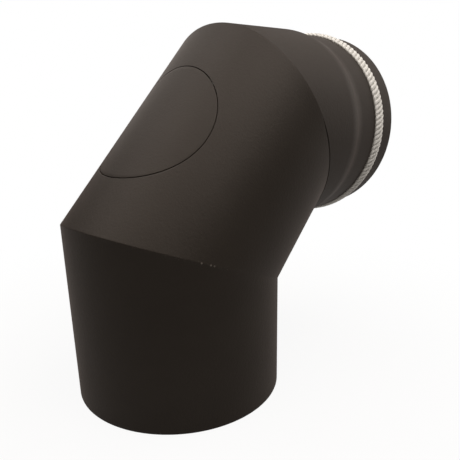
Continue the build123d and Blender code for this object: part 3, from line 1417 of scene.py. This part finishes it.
@dataclass
class HatchSeat:
    """The ring behind the hatch hole, with its gasket and the tacks that hold it."""

    outline: HatchOutline
    steel: bpy.types.Material
    metal: bpy.types.Material
    fibre: bpy.types.Material
    columns: int = 200
    weave_columns: int = 720
    weave_pitch: float = 1.25 * MM
    weave_depth: float = 0.10 * MM
    flange_rim: float = 56.2 * MM
    shelf_rim: float = 51.2 * MM
    shelf_eye: float = 39.2 * MM
    sheet: float = 2.0 * MM
    bend: float = 0.5 * MM
    gasket_rim: float = 47.6 * MM
    gasket_eye: float = 39.8 * MM
    gasket_thickness: float = 1.7 * MM
    gasket_side: float = 0.5 * MM
    clearance: float = 0.01 * MM
    gasket_rows: int = 30
    tack_columns: int = 28
    tack_rows: int = 9
    tack_height_share: float = 0.95
    tacks: int = 8
    tack_radius: float = 1.85 * MM

    def _add_ring(
        self,
        draft: MeshDraft,
        profile: list[tuple[float, float]],
        columns: int,
        ripple: float = 0.0,
    ) -> None:
        """Add a closed ring that follows the hatch's outline.

        Args:
            draft: The mesh it goes into.
            profile: Pairs of a radius on the flat sheet and a wall radius, once round.
            columns: Columns round the ring.
            ripple: Depth of the weave.
        """
        turn = np.linspace(0, TURN, columns, endpoint=False)
        rings, crests = [], []
        for radius, level in profile:
            across = np.cos(TURN * radius / self.weave_pitch)
            along = np.cos(TURN * turn * radius / self.weave_pitch)
            woven = 0.5 + 0.5 * across * along
            rings.append(self.outline.on_wall(turn, radius, level - ripple * (1 - woven)))
            crests.append(woven)
        points = self.outline.layout.middle.place_rows(np.stack(rings))
        # crest drives the gasket's painted shade between its threads and painted highlight on them.
        layers = {"crest": np.stack(crests)}
        draft.grid(points, close_rows=True, close_columns=True, layers=layers)

    def ring(self) -> bpy.types.Object:
        """Build the pressed seat ring, a flange under the wall and a shelf for the gasket.

        Returns:
            The new object.
        """
        wall, sheet, bend = self.outline.layout.inner, self.sheet, self.bend
        hole = self.outline.radius
        flange = wall - 2 * self.clearance
        shelf = wall - sheet
        under = shelf - sheet
        profile = [
            (self.flange_rim, flange),
            (hole + 2 * bend, flange),
            (hole + 0.4 * bend, wall - 0.4 * bend),
            (hole, wall - 1.2 * bend),
            (hole, shelf + 1.2 * bend),
            (hole - 0.4 * bend, shelf + 0.4 * bend),
            (hole - 1.2 * bend, shelf),
            (self.shelf_eye + bend, shelf),
            (self.shelf_eye + 0.3 * bend, shelf - 0.3 * bend),
            (self.shelf_eye, shelf - bend),
            (self.shelf_eye, under + bend),
            (self.shelf_eye + 0.3 * bend, under + 0.3 * bend),
            (self.shelf_eye + bend, under),
            (self.shelf_rim - 2.4 * bend, under),
            (self.shelf_rim - 0.8 * bend, under + 0.6 * bend),
            (self.shelf_rim, under + 2.0 * bend),
            (self.shelf_rim + 0.4 * bend, shelf - 0.6 * bend),
            (self.shelf_rim + 2.0 * bend, shelf),
            (self.flange_rim - bend, shelf),
            (self.flange_rim - 0.3 * bend, shelf + 0.3 * bend),
            (self.flange_rim, shelf + bend),
        ]
        draft = MeshDraft("hatch_seat_ring_pressed")
        self._add_ring(draft, profile, self.columns)
        return draft.build([self.steel])

    def gasket(self) -> bpy.types.Object:
        """Build the woven tape that lies on the shelf.

        Returns:
            The new object.
        """
        rim, eye, side = self.gasket_rim, self.gasket_eye, self.gasket_side
        floor = self.outline.layout.inner - self.sheet + self.clearance
        top = floor + self.gasket_thickness - self.clearance
        profile = [(rim - side / 5, floor), (eye + side / 5, floor)]
        profile += [(eye, floor + side), (eye, top - side)]
        rows = np.linspace(eye + side, rim - side, self.gasket_rows)
        profile += [(radius, top) for radius in rows]
        profile += [(rim, top - side), (rim, floor + side)]
        draft = MeshDraft("hatch_gasket_tape")
        self._add_ring(draft, profile, self.weave_columns, self.weave_depth)
        return draft.build([self.fibre])

    def tack_beads(self) -> bpy.types.Object:
        """Build the tacks, small domes of weld at the flange's rim.

        Returns:
            The new object.
        """
        draft = MeshDraft("seat_tack_beads")
        lay = self.outline.layout
        spin = np.linspace(0, TURN, self.tack_columns, endpoint=False)[None, :]
        lift = np.linspace(0, 1, self.tack_rows)[:, None]
        for index in range(self.tacks):
            turn = np.array([TURN * (index + 0.5) / self.tacks])
            along, side = (part[0] for part in self.outline.at(turn, self.flange_rim))
            swell = 1 + 0.06 * np.sin(3 * spin + index * 1.7)
            ripple = 0.97 + 0.03 * np.cos(24 * lift)
            spread = self.tack_radius * np.sqrt(1 - lift**2) * swell * ripple
            u, y = along + spread * np.cos(spin), side + spread * np.sin(spin)
            wall = np.sqrt(lay.inner**2 - y**2)
            depth = self.tack_radius * self.tack_height_share * lift + 0 * spin
            points = lay.middle.place(wall - depth, y, u)
            draft.grid(points, close_columns=True)
            draft.cap(points[0])
        return draft.build([self.metal])


@dataclass
class HatchFastening:
    """Stud, nuts, washers, spring and bridge that hold the hatch cover from inside."""

    layout: PipeLayout
    steel: bpy.types.Material
    metal: bpy.types.Material
    fastener: bpy.types.Material
    wire: bpy.types.Material
    stud_radius: float = 3.98 * MM
    thread_pitch: float = 1.25 * MM
    thread_depth: float = 0.62 * MM
    stud_end: float = 26.0 * MM
    plain_shank: float = 8.0 * MM
    stud_columns: int = 36
    thread_samples: int = 9
    thread_fill: tuple[float, float] = (1.35, 0.15)
    stud_foot: float = 0.4 * MM
    stud_chamfer: float = 1.0 * MM
    weld_radius: float = 6.3 * MM
    weld_height: float = 1.6 * MM
    washer_radius: float = 12.0 * MM
    washer_eye: float = 4.2 * MM
    washer_thickness: float = 1.5 * MM
    washer_burr: float = 0.08 * MM
    washer_round: float = 0.35 * MM
    across_flats: float = 13.0 * MM
    nut_height: float = 6.5 * MM
    lock_nut_height: float = 4.0 * MM
    nut_columns: int = 144
    nut_sharpness: int = 60
    nut_face_share: float = 0.95
    nut_chamfer: float = math.radians(30)
    nut_bore_gap: float = 0.02 * MM
    nut_sink: float = 0.5 * MM
    nut_turn: float = 0.2
    lock_nut_turn: float = 0.7
    wire_radius: float = 0.8 * MM
    spring_radius: float = 8.0 * MM
    spring_length: float = 22.5 * MM
    spring_turns: float = 6.0
    coil_samples: int = 44
    wire_columns: int = 18
    spring_closed_turns: float = 0.9
    spring_closed_rise: float = 1.08 * MM
    spring_ground: float = 0.28 * MM
    bar_top: float = 68.0 * MM
    bar_thickness: float = 3.0 * MM
    bar_half_width: float = 13.0 * MM
    bar_reach: float = 62.0 * MM
    bar_bend: float = 4.0 * MM
    bar_gap: float = 0.2 * MM
    bar_edge: float = 0.35 * MM
    bar_eye: float = 4.1 * MM
    bar_patch: float = 9.0 * MM
    bar_cells: int = 12
    bar_bend_steps: int = 6
    bar_hole_shares: tuple[float, ...] = (0.0, 0.3, 0.65, 1.0)
    turned_columns: int = 96

    def _centre_height(self, node: str) -> float:
        """Height of a piece's middle above the middle segment's axis."""
        low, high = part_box(node)
        return ((low + high) / 2 - self.layout.middle.origin).dot(self.layout.middle.heel)

    def _place(self, radius: np.ndarray, turn: np.ndarray, height: np.ndarray) -> np.ndarray:
        """Points round the stud's axis."""
        along = self.layout.middle_length / 2 + radius * np.cos(turn)
        return self.layout.middle.place(height, radius * np.sin(turn), along)

    def _lathe(self, name: str, profile: list[tuple[float, float]]) -> bpy.types.Object:
        """Build a turned ring.

        Args:
            name: The piece's name.
            profile: Radius and height pairs, once round.

        Returns:
            The new object.
        """
        turn = np.linspace(0, TURN, self.turned_columns, endpoint=False)[None, :]
        pairs = np.array(profile)
        points = self._place(pairs[:, :1] + 0 * turn, turn, pairs[:, 1:] + 0 * turn)
        draft = MeshDraft(name)
        draft.grid(points, close_rows=True, close_columns=True)
        return draft.build([self.fastener])

    def washer(self, node: str) -> bpy.types.Object:
        """Build one washer, with the rounded edge that blanking leaves on its upper face.

        Args:
            node: The CAD node that it stands for.

        Returns:
            The new object.
        """
        middle, half = self._centre_height(node), self.washer_thickness / 2
        rim, eye = self.washer_radius, self.washer_eye
        burr, soft = self.washer_burr, self.washer_round
        profile = [
            (eye, middle - half + burr),
            (eye + burr, middle - half),
            (rim - burr, middle - half),
            (rim, middle - half + burr),
            (rim, middle + half - soft),
            (rim - 0.3 * soft, middle + half - 0.3 * soft),
            (rim - soft, middle + half),
            (eye + soft, middle + half),
            (eye + 0.3 * soft, middle + half - 0.3 * soft),
            (eye, middle + half - soft),
        ]
        return self._lathe(node + "_plain", profile)

    def nut(self, node: str, height: float, twist: float) -> bpy.types.Object:
        """Build one hexagon nut.

        Args:
            node: The CAD node that it stands for.
            height: The nut's height.
            twist: How far it is turned round the stud.

        Returns:
            The new object.
        """
        middle, half = self._centre_height(node), height / 2
        turn = np.linspace(0, TURN, self.nut_columns, endpoint=False)[None, :]
        power, flat = self.nut_sharpness, self.across_flats / 2
        sides = [np.abs(np.cos(turn - twist - math.pi * side / 3)) ** power for side in range(3)]
        hexagon, face = flat * sum(sides) ** (-1 / power), flat * self.nut_face_share
        drop = np.maximum(hexagon - face, 0) * math.tan(self.nut_chamfer)
        bore, sink = self.stud_radius + self.nut_bore_gap, self.nut_sink
        rows = [
            (bore, -half + sink, 0),
            (bore + sink, -half, 0),
            (face, -half, 0),
            (hexagon, -half, drop),
            (hexagon, half, -drop),
            (face, half, 0),
            (bore + sink, half, 0),
            (bore, half - sink, 0),
        ]
        radius = np.concatenate([r + 0 * turn for r, _, _ in rows])
        level = np.concatenate([middle + h + d + 0 * turn for _, h, d in rows])
        draft = MeshDraft(node + "_hexagon")
        draft.grid(self._place(radius, turn, level), close_rows=True, close_columns=True)
        return draft.build([self.fastener])

    def stud(self) -> bpy.types.Object:
        """Build the threaded stud with its chamfered end.

        Returns:
            The new object.
        """
        turn = np.linspace(0, TURN, self.stud_columns, endpoint=False)[None, :]
        root = self.layout.inner - self.plain_shank
        foot = self.layout.inner - self.stud_foot
        steps = int((root - self.stud_end) / self.thread_pitch * self.thread_samples)
        height = np.linspace(self.stud_end, root, steps)[:, None]
        saw = np.abs(2 * ((height / self.thread_pitch - turn / TURN) % 1.0) - 1)
        steep, cut_off = self.thread_fill
        cut = np.clip(saw * steep - cut_off, 0, 1)
        run_out = np.clip((root - height) / (2 * self.thread_pitch), 0, 1)
        thread = self.stud_radius - self.thread_depth * (1 - cut) * run_out
        tip = self.stud_radius - self.stud_chamfer + (height - self.stud_end)
        shank = np.full((1, turn.size), self.stud_radius)
        radius = np.concatenate([np.minimum(thread, tip), shank])
        level = np.concatenate([height + 0 * turn, np.full((1, turn.size), foot)])
        draft = MeshDraft("hatch_stud_thread")
        draft.grid(self._place(radius, turn, level), close_columns=True)
        for row, end in ((0, self.stud_end), (-1, foot)):
            cap = np.stack([radius[row], radius[row] / 2, radius[row] * 0])
            draft.grid(self._place(cap, turn, end + 0 * cap), close_columns=True)
        return draft.build([self.fastener])

    def stud_fillet(self) -> bpy.types.Object:
        """Build the weld round the stud's foot.

        Returns:
            The new object.
        """
        turn = np.linspace(0, TURN, 180, endpoint=False)[None, :]
        ripple = np.abs(np.sin(15 * turn))
        shares = [(1.0, 0.0), (0.90, 0.12), (0.78, 0.34), (0.69, 0.62), (0.64, 0.92), (0.60, 1.0)]
        rows, levels = [], []
        for reach, depth in shares:
            radius = self.weld_radius * (reach + 0.03 * ripple * reach)
            rows.append(radius)
            wall = np.sqrt(self.layout.inner**2 - (radius * np.sin(turn)) ** 2)
            levels.append(wall - self.weld_height * (depth * (0.94 + 0.06 * ripple)))
        rows.append(rows[-1])
        levels.append(np.sqrt(self.layout.inner**2 - (rows[-1] * np.sin(turn)) ** 2))
        draft = MeshDraft("stud_weld_fillet")
        points = self._place(np.concatenate(rows), turn, np.concatenate(levels))
        draft.grid(points, close_rows=True, close_columns=True)
        return draft.build([self.metal])

    def spring(self) -> bpy.types.Object:
        """Build the spring with closed ends ground flat.

        Returns:
            The new object.
        """
        middle, half = self._centre_height("hatch_spring"), self.spring_length / 2
        low, high = middle - half, middle + half
        closed, end = self.spring_closed_rise, self.spring_closed_turns
        samples = int(self.spring_turns * self.coil_samples)
        turns = np.linspace(0, self.spring_turns, samples)[:, None]
        from_end = np.minimum(turns, self.spring_turns - turns)
        rise = closed * np.minimum(from_end, end) / end
        first, last = low + self.spring_ground, high - self.spring_ground
        share = np.clip((turns - end) / (self.spring_turns - 2 * end), 0, 1)
        share = share * 0.9 + 0.1 * share**2 * (3 - 2 * share)
        open_part = first + closed + (last - first - 2 * closed) * share
        upper_part = np.where(turns > self.spring_turns - end, last - rise, open_part)
        level = np.where(turns < end, first + rise, upper_part)
        around = np.linspace(0, TURN, self.wire_columns, endpoint=False)[None, :]
        radius = self.spring_radius + self.wire_radius * np.cos(around) + 0 * turns
        height = np.clip(level + self.wire_radius * np.sin(around), low, high)
        points = self._place(radius, TURN * turns + 0 * around, height)
        draft = MeshDraft("hatch_spring_coil")
        draft.grid(points, close_columns=True)
        for end_row in (points[0], points[-1]):
            draft.cap(end_row)
        return draft.build([self.wire])

    def spring_seat(self) -> Triple:
        """Find the spring's fixed end, where it bears on the bridge's washer.

        Returns:
            The middle of that end.
        """
        height = self._centre_height("hatch_spring") + self.spring_length / 2
        seat = self.layout.middle.place(height, 0.0, self.layout.middle_length / 2)
        return tuple(float(part) for part in seat)

    def _bar_outline(self) -> list[tuple[float, float, bool]]:
        """Edge of the bent bar, seen from its side.

        Returns:
            A place, a height and whether it is a foot, for each point once round.
        """
        reach, bend, thick = self.bar_reach, self.bar_bend, self.bar_thickness
        top, under, inside = self.bar_top, self.bar_top - thick, bend - thick
        foot = self.layout.inner - self.bar_gap
        steps = self.bar_bend_steps
        quarter = [math.pi / 2 * step / steps for step in range(steps + 1)]
        right, inner_left = [(reach, foot, True)], [(thick - reach, foot, True)]
        for a in quarter:
            c, s = 1 - math.cos(a), 1 - math.sin(a)
            right.append((reach - bend * c, under + bend * s, False))
            inner_left.append((thick - reach + inside * c, top + inside * s, False))
        outer = np.linspace(reach - bend, self.bar_patch, steps + 1)[1:]
        centre = np.linspace(self.bar_patch, -self.bar_patch, self.bar_cells + 1)[1:-1]
        flat = np.concatenate([outer, centre, -outer[::-1]])
        lower = [(u, under, False) for u in flat]
        left = [(-u, h, mark) for u, h, mark in reversed(right)]
        upper = [(u, top, False) for u in flat[::-1]]
        inner_right = [(-u, h, mark) for u, h, mark in reversed(inner_left)]
        return right + lower + left + inner_left + upper + inner_right

    def _holed_patch(self, draft: MeshDraft) -> None:
        """Fill the bar's middle on both faces round the stud's hole, and line the hole.

        Args:
            draft: The mesh it goes into.
        """
        u, y = square_border(self.bar_patch, self.bar_cells)
        bearing, reach = np.arctan2(y, u), np.hypot(u, y)
        rims = []
        for level in (self.bar_top, self.bar_top - self.bar_thickness):
            shares = np.array(self.bar_hole_shares)[:, None]
            rows = self.bar_eye + (reach - self.bar_eye) * shares
            points = self._place(rows, bearing[None, :], np.full_like(rows, level))
            draft.grid(points, close_columns=True)
            rims.append(points[0])
        draft.grid(np.stack(rims), close_columns=True)

    def bridge(self) -> bpy.types.Object:
        """Build the bent flat bar with the stud's hole and rounded edges.

        Returns:
            The new object.
        """
        lay = self.layout
        outline = self._bar_outline()
        edge, half, patch = self.bar_edge, self.bar_half_width, self.bar_patch
        inner = np.linspace(-patch, patch, self.bar_cells + 1)
        middle = [(y, 0.0) for y in (edge - half, *inner, half - edge)]
        sides = [(-half, edge), *middle, (half, edge)]
        u, h, feet = (np.array(column) for column in zip(*outline))
        du, dh = np.roll(u, -1) - np.roll(u, 1), np.roll(h, -1) - np.roll(h, 1)
        size = np.hypot(du, dh)
        outward = np.sign((dh * u)[0])
        points = []
        for y, inset in sides:
            top = math.sqrt((lay.inner - self.bar_gap) ** 2 - y**2)
            height = np.where(feet, top - inset, h + outward * du / size * inset)
            along = lay.middle_length / 2 + u - outward * dh / size * inset
            points.append(lay.middle.place(height, np.full_like(u, y), along))
        grid = np.stack(points)
        flat = np.abs(u) <= patch + MERGE_DISTANCE
        skip = np.zeros(grid.shape[:2], bool)
        skip[2 : 2 + self.bar_cells] = flat & np.roll(flat, -1)
        draft = MeshDraft("bridge_bar_bent")
        draft.grid(grid, close_columns=True, skip=skip)
        for row in (grid[0], grid[-1]):
            low, high = row[: len(outline) // 2], row[len(outline) // 2 :][::-1]
            draft.grid(np.stack([low, high]))
        self._holed_patch(draft)
        return draft.build([self.steel])


# --- studio ---


def towards(azimuth: float, elevation: float) -> Vector:
    """Direction from the elbow at an azimuth and an elevation in radians."""
    level = math.cos(elevation)
    return Vector((math.sin(azimuth) * level, -math.cos(azimuth) * level, math.sin(elevation)))


@dataclass(frozen=True)
class CameraPlace:
    """The camera: where it aims, how far off it stands and its lens."""

    aim: Triple = (0.0314, -0.0206, 0.0966)
    distance: float = 0.3869
    azimuth: float = math.radians(-45.541)
    elevation: float = math.radians(17.687)
    roll: float = math.radians(-1.445)
    lens: float = 39.99
    sensor: float = 36.0
    shift: tuple[float, float] = (0.0154, 0.0525)

    def build(self) -> bpy.types.Object:
        """Make the camera and set it as the scene's.

        Returns:
            The new camera.
        """
        back = towards(self.azimuth, self.elevation)
        side = (-back).cross(Vector((0, 0, 1))).normalized()
        top = side.cross(-back)
        right = math.cos(self.roll) * side + math.sin(self.roll) * top
        up = math.cos(self.roll) * top - math.sin(self.roll) * side
        lens = bpy.data.cameras.new("camera")
        lens.lens = self.lens
        lens.sensor_width = self.sensor
        lens.shift_x, lens.shift_y = self.shift
        camera = bpy.data.objects.new("camera", lens)
        place = Vector(self.aim) + back * self.distance
        turned = Matrix((right, up, back)).transposed().to_4x4()
        camera.matrix_world = Matrix.Translation(place) @ turned
        bpy.context.scene.collection.objects.link(camera)
        bpy.context.scene.camera = camera
        return camera


@dataclass(frozen=True)
class Softbox:
    """A round area light that faces the elbow, placed by angles in degrees."""

    name: str
    azimuth: float
    elevation: float
    size: float
    power: float
    distance: float = 2.0

    def build(self, target: Vector, tint: Quad) -> bpy.types.Object:
        """Make the light.

        Args:
            target: The point that it faces.
            tint: Its colour.

        Returns:
            The new light.
        """
        lamp = bpy.data.lights.new(self.name, "AREA")
        lamp.shape = "DISK"
        lamp.size = self.size
        lamp.energy = self.power
        lamp.color = tint[:3]
        back = towards(math.radians(self.azimuth), math.radians(self.elevation))
        light = bpy.data.objects.new(self.name, lamp)
        turned = (-back).to_track_quat("-Z", "Y").to_matrix().to_4x4()
        light.matrix_world = Matrix.Translation(target + back * self.distance) @ turned
        bpy.context.scene.collection.objects.link(light)
        return light


@dataclass
class Studio:
    """Floor, world and soft lights."""

    fill: float = 0.05
    mirrored: float = 0.125
    tint: Quad = (1.0, 0.93, 0.87, 1.0)
    floor_size: float = 12.0
    centre: Triple = (0.06, 0.0, 0.13)
    lights: tuple[Softbox, ...] = (
        Softbox("softbox_over_left", 260, 62, 1.9, 14.0),
        Softbox("softbox_far_left", 200, 60, 1.9, 11.6),
        Softbox("softbox_near_left", 350, 60, 1.9, 12.8),
        Softbox("softbox_over_right", 40, 60, 1.9, 19.4),
        Softbox("softbox_back_right", 105, 30, 1.2, 1.4),
        Softbox("softbox_back_left", 160, 26, 1.2, 2.9),
        Softbox("softbox_low_right", 75, 12, 1.4, 3.7),
    )

    def build(self) -> None:
        """Make the world, the floor and the lights."""
        sky = Graph("studio", "worlds")
        share = sky.backdrop_share(self.mirrored)
        fill = sky.node("ShaderNodeBackground", None, {"Color": self.tint, "Strength": self.fill})
        white = sky.node("ShaderNodeBackground", None, {"Color": WHITE, "Strength": 1.0})
        mixed = sky.node(
            "ShaderNodeMixShader", None, {0: share, 1: fill.outputs[0], 2: white.outputs[0]}
        )
        sky.node("ShaderNodeOutputWorld", None, {"Surface": mixed.outputs[0]})
        bpy.context.scene.world = sky.block
        bpy.ops.mesh.primitive_plane_add(size=self.floor_size)
        floor = bpy.context.object
        floor.name = "floor"
        floor.data.materials.append(StudioFloor().build(self.mirrored))
        for light in self.lights:
            light.build(Vector(self.centre), self.tint)
        bpy.context.scene.view_settings.view_transform = "Standard"


Finishes = dict[Slot, bpy.types.Material]


def mix_finishes(layout: PipeLayout) -> Finishes:
    """Make the finish of each material slot of the record.

    Args:
        layout: The layout of the tube segments.

    Returns:
        The materials by slot.
    """
    chips = tuple(layout.lower_ridge(math.radians(turn)) for turn in CHIP_TURNS)
    weld = MillSteel("weld_metal", (0.17, 0.15, 0.14), (0.09, 0.08, 0.075), 0.5)
    sheet = MillSteel("pressed_steel", (0.32, 0.31, 0.30), (0.18, 0.17, 0.16), 0.4)
    bright = MillSteel("fastener_stainless", (0.56, 0.55, 0.52), (0.42, 0.41, 0.38), 0.3, 1.0)
    wire = MillSteel("spring_wire_drawn", (0.45, 0.44, 0.43), (0.3, 0.29, 0.28), 0.28, 1.0)
    return {
        Slot.PAINT: HeatPaint(chips=chips).build(),
        Slot.WELD: weld.build(),
        Slot.BARE: sheet.build(),
        Slot.GASKET: WovenTape().build(),
        Slot.ROPE: RopeFibre().build(),
        Slot.FASTENER: bright.build(),
        Slot.SPRING: wire.build(),
    }


def dress_nodes(frame: dict, finishes: Finishes) -> None:
    """Give each CAD node the finish of its slot.

    Args:
        finishes: The materials by slot.
    """
    for part in frame["record"]["subparts"]:
        node = frame["nodes"][part["node"]]
        node.data.materials.clear()
        node.data.materials.append(finishes[Slot(part["material_slot"])])


def add_shells(layout: PipeLayout, hole: HatchOutline, finishes: Finishes) -> None:
    """Build the painted shells, the hatch cover, the rope and the seams.

    Args:
        layout: The layout of the tube segments.
        hole: The hatch hole's outline.
        finishes: The materials by slot.
    """
    paint, elbow = finishes[Slot.PAINT], Body.ELBOW
    inside = MillSteel("inside_steel", (0.26, 0.25, 0.24), (0.13, 0.12, 0.112), 0.5, 0.6).build()
    shells = PaintedShells(layout, paint, inside)
    disc = HatchOutline.from_cover(layout, 0.0)
    cover = HatchCover(layout, disc, paint, inside)
    rope = RopeSeal.from_node(layout, finishes[Slot.ROPE])
    place_piece(shells.lower(), elbow, Slot.PAINT, "lower_leg")
    place_piece(shells.middle(hole), elbow, Slot.PAINT, "middle_segment")
    place_piece(DrawnInLeg(shells).build(), elbow, Slot.PAINT, "upper_leg")
    place_piece(cover.build(), Body.HATCH, Slot.PAINT, "hatch_cover")
    place_piece(rope.build(), elbow, Slot.ROPE, "rope_seal")
    bead = SeamBead(layout, finishes[Slot.WELD])
    joints = (
        ("lower_seam_weld", layout.lower, layout.lower_length, layout.middle),
        ("upper_seam_weld", layout.middle, layout.middle_length, layout.upper),
    )
    for node, before, length, after in joints:
        place_piece(bead.build(node + "_bead", before, length, after), elbow, Slot.WELD, node)


def add_seat(hole: HatchOutline, finishes: Finishes) -> None:
    """Build the ring behind the hatch with its gasket and tacks.

    Args:
        hole: The hatch hole's outline.
        finishes: The materials by slot.
    """
    elbow = Body.ELBOW
    seat = HatchSeat(hole, *(finishes[slot] for slot in (Slot.BARE, Slot.WELD, Slot.GASKET)))
    place_piece(seat.ring(), elbow, Slot.BARE, "hatch_seat_ring")
    place_piece(seat.gasket(), elbow, Slot.GASKET, "hatch_gasket")
    place_piece(seat.tack_beads(), elbow, Slot.WELD, "seat_tack_welds")


def add_fastening(layout: PipeLayout, joint: dict, finishes: Finishes) -> None:
    """Build what holds the hatch.

    Args:
        layout: The layout of the tube segments.
        joint: The record's row of the hatch's joint.
        finishes: The materials by slot.
    """
    slots = (Slot.BARE, Slot.WELD, Slot.FASTENER, Slot.SPRING)
    kit = HatchFastening(layout, *(finishes[slot] for slot in slots))
    elbow, hatch, bright = Body.ELBOW, Body.HATCH, Slot.FASTENER
    place_piece(kit.bridge(), elbow, Slot.BARE, "bridge_bar")
    place_piece(kit.washer("bridge_washer"), elbow, bright, "bridge_washer")
    place_piece(kit.washer("spring_washer"), hatch, bright, "spring_washer")
    nuts = (
        ("stud_nut", kit.nut_height, kit.nut_turn),
        ("lock_nut", kit.lock_nut_height, kit.lock_nut_turn),
    )
    for node, height, twist in nuts:
        place_piece(kit.nut(node, height, twist), hatch, bright, node)
    place_piece(kit.stud(), hatch, bright, "hatch_stud")
    place_piece(kit.stud_fillet(), hatch, Slot.WELD, "stud_weld")
    coil = kit.spring()
    place_piece(coil, elbow, Slot.SPRING, "hatch_spring")
    tuple(layout.middle.heel)
    kit.spring_seat()
    1 - joint["range_m"][1] / kit.spring_length
    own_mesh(coil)


def main() -> None:
    """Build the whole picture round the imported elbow."""
    logging.basicConfig(level=logging.INFO, format="%(name)s: %(message)s")
    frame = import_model()
    CameraPlace().build()
    layout = PipeLayout.from_pieces()
    finishes = mix_finishes(layout)
    dress_nodes(frame, finishes)
    hole = HatchOutline.from_cover(layout, HATCH_GAP)
    add_shells(layout, hole, finishes)
    add_seat(hole, finishes)
    add_fastening(layout, frame["record"]["behaviour"]["joints"][0], finishes)
    Studio().build()


if __name__ == "__main__":
    main()
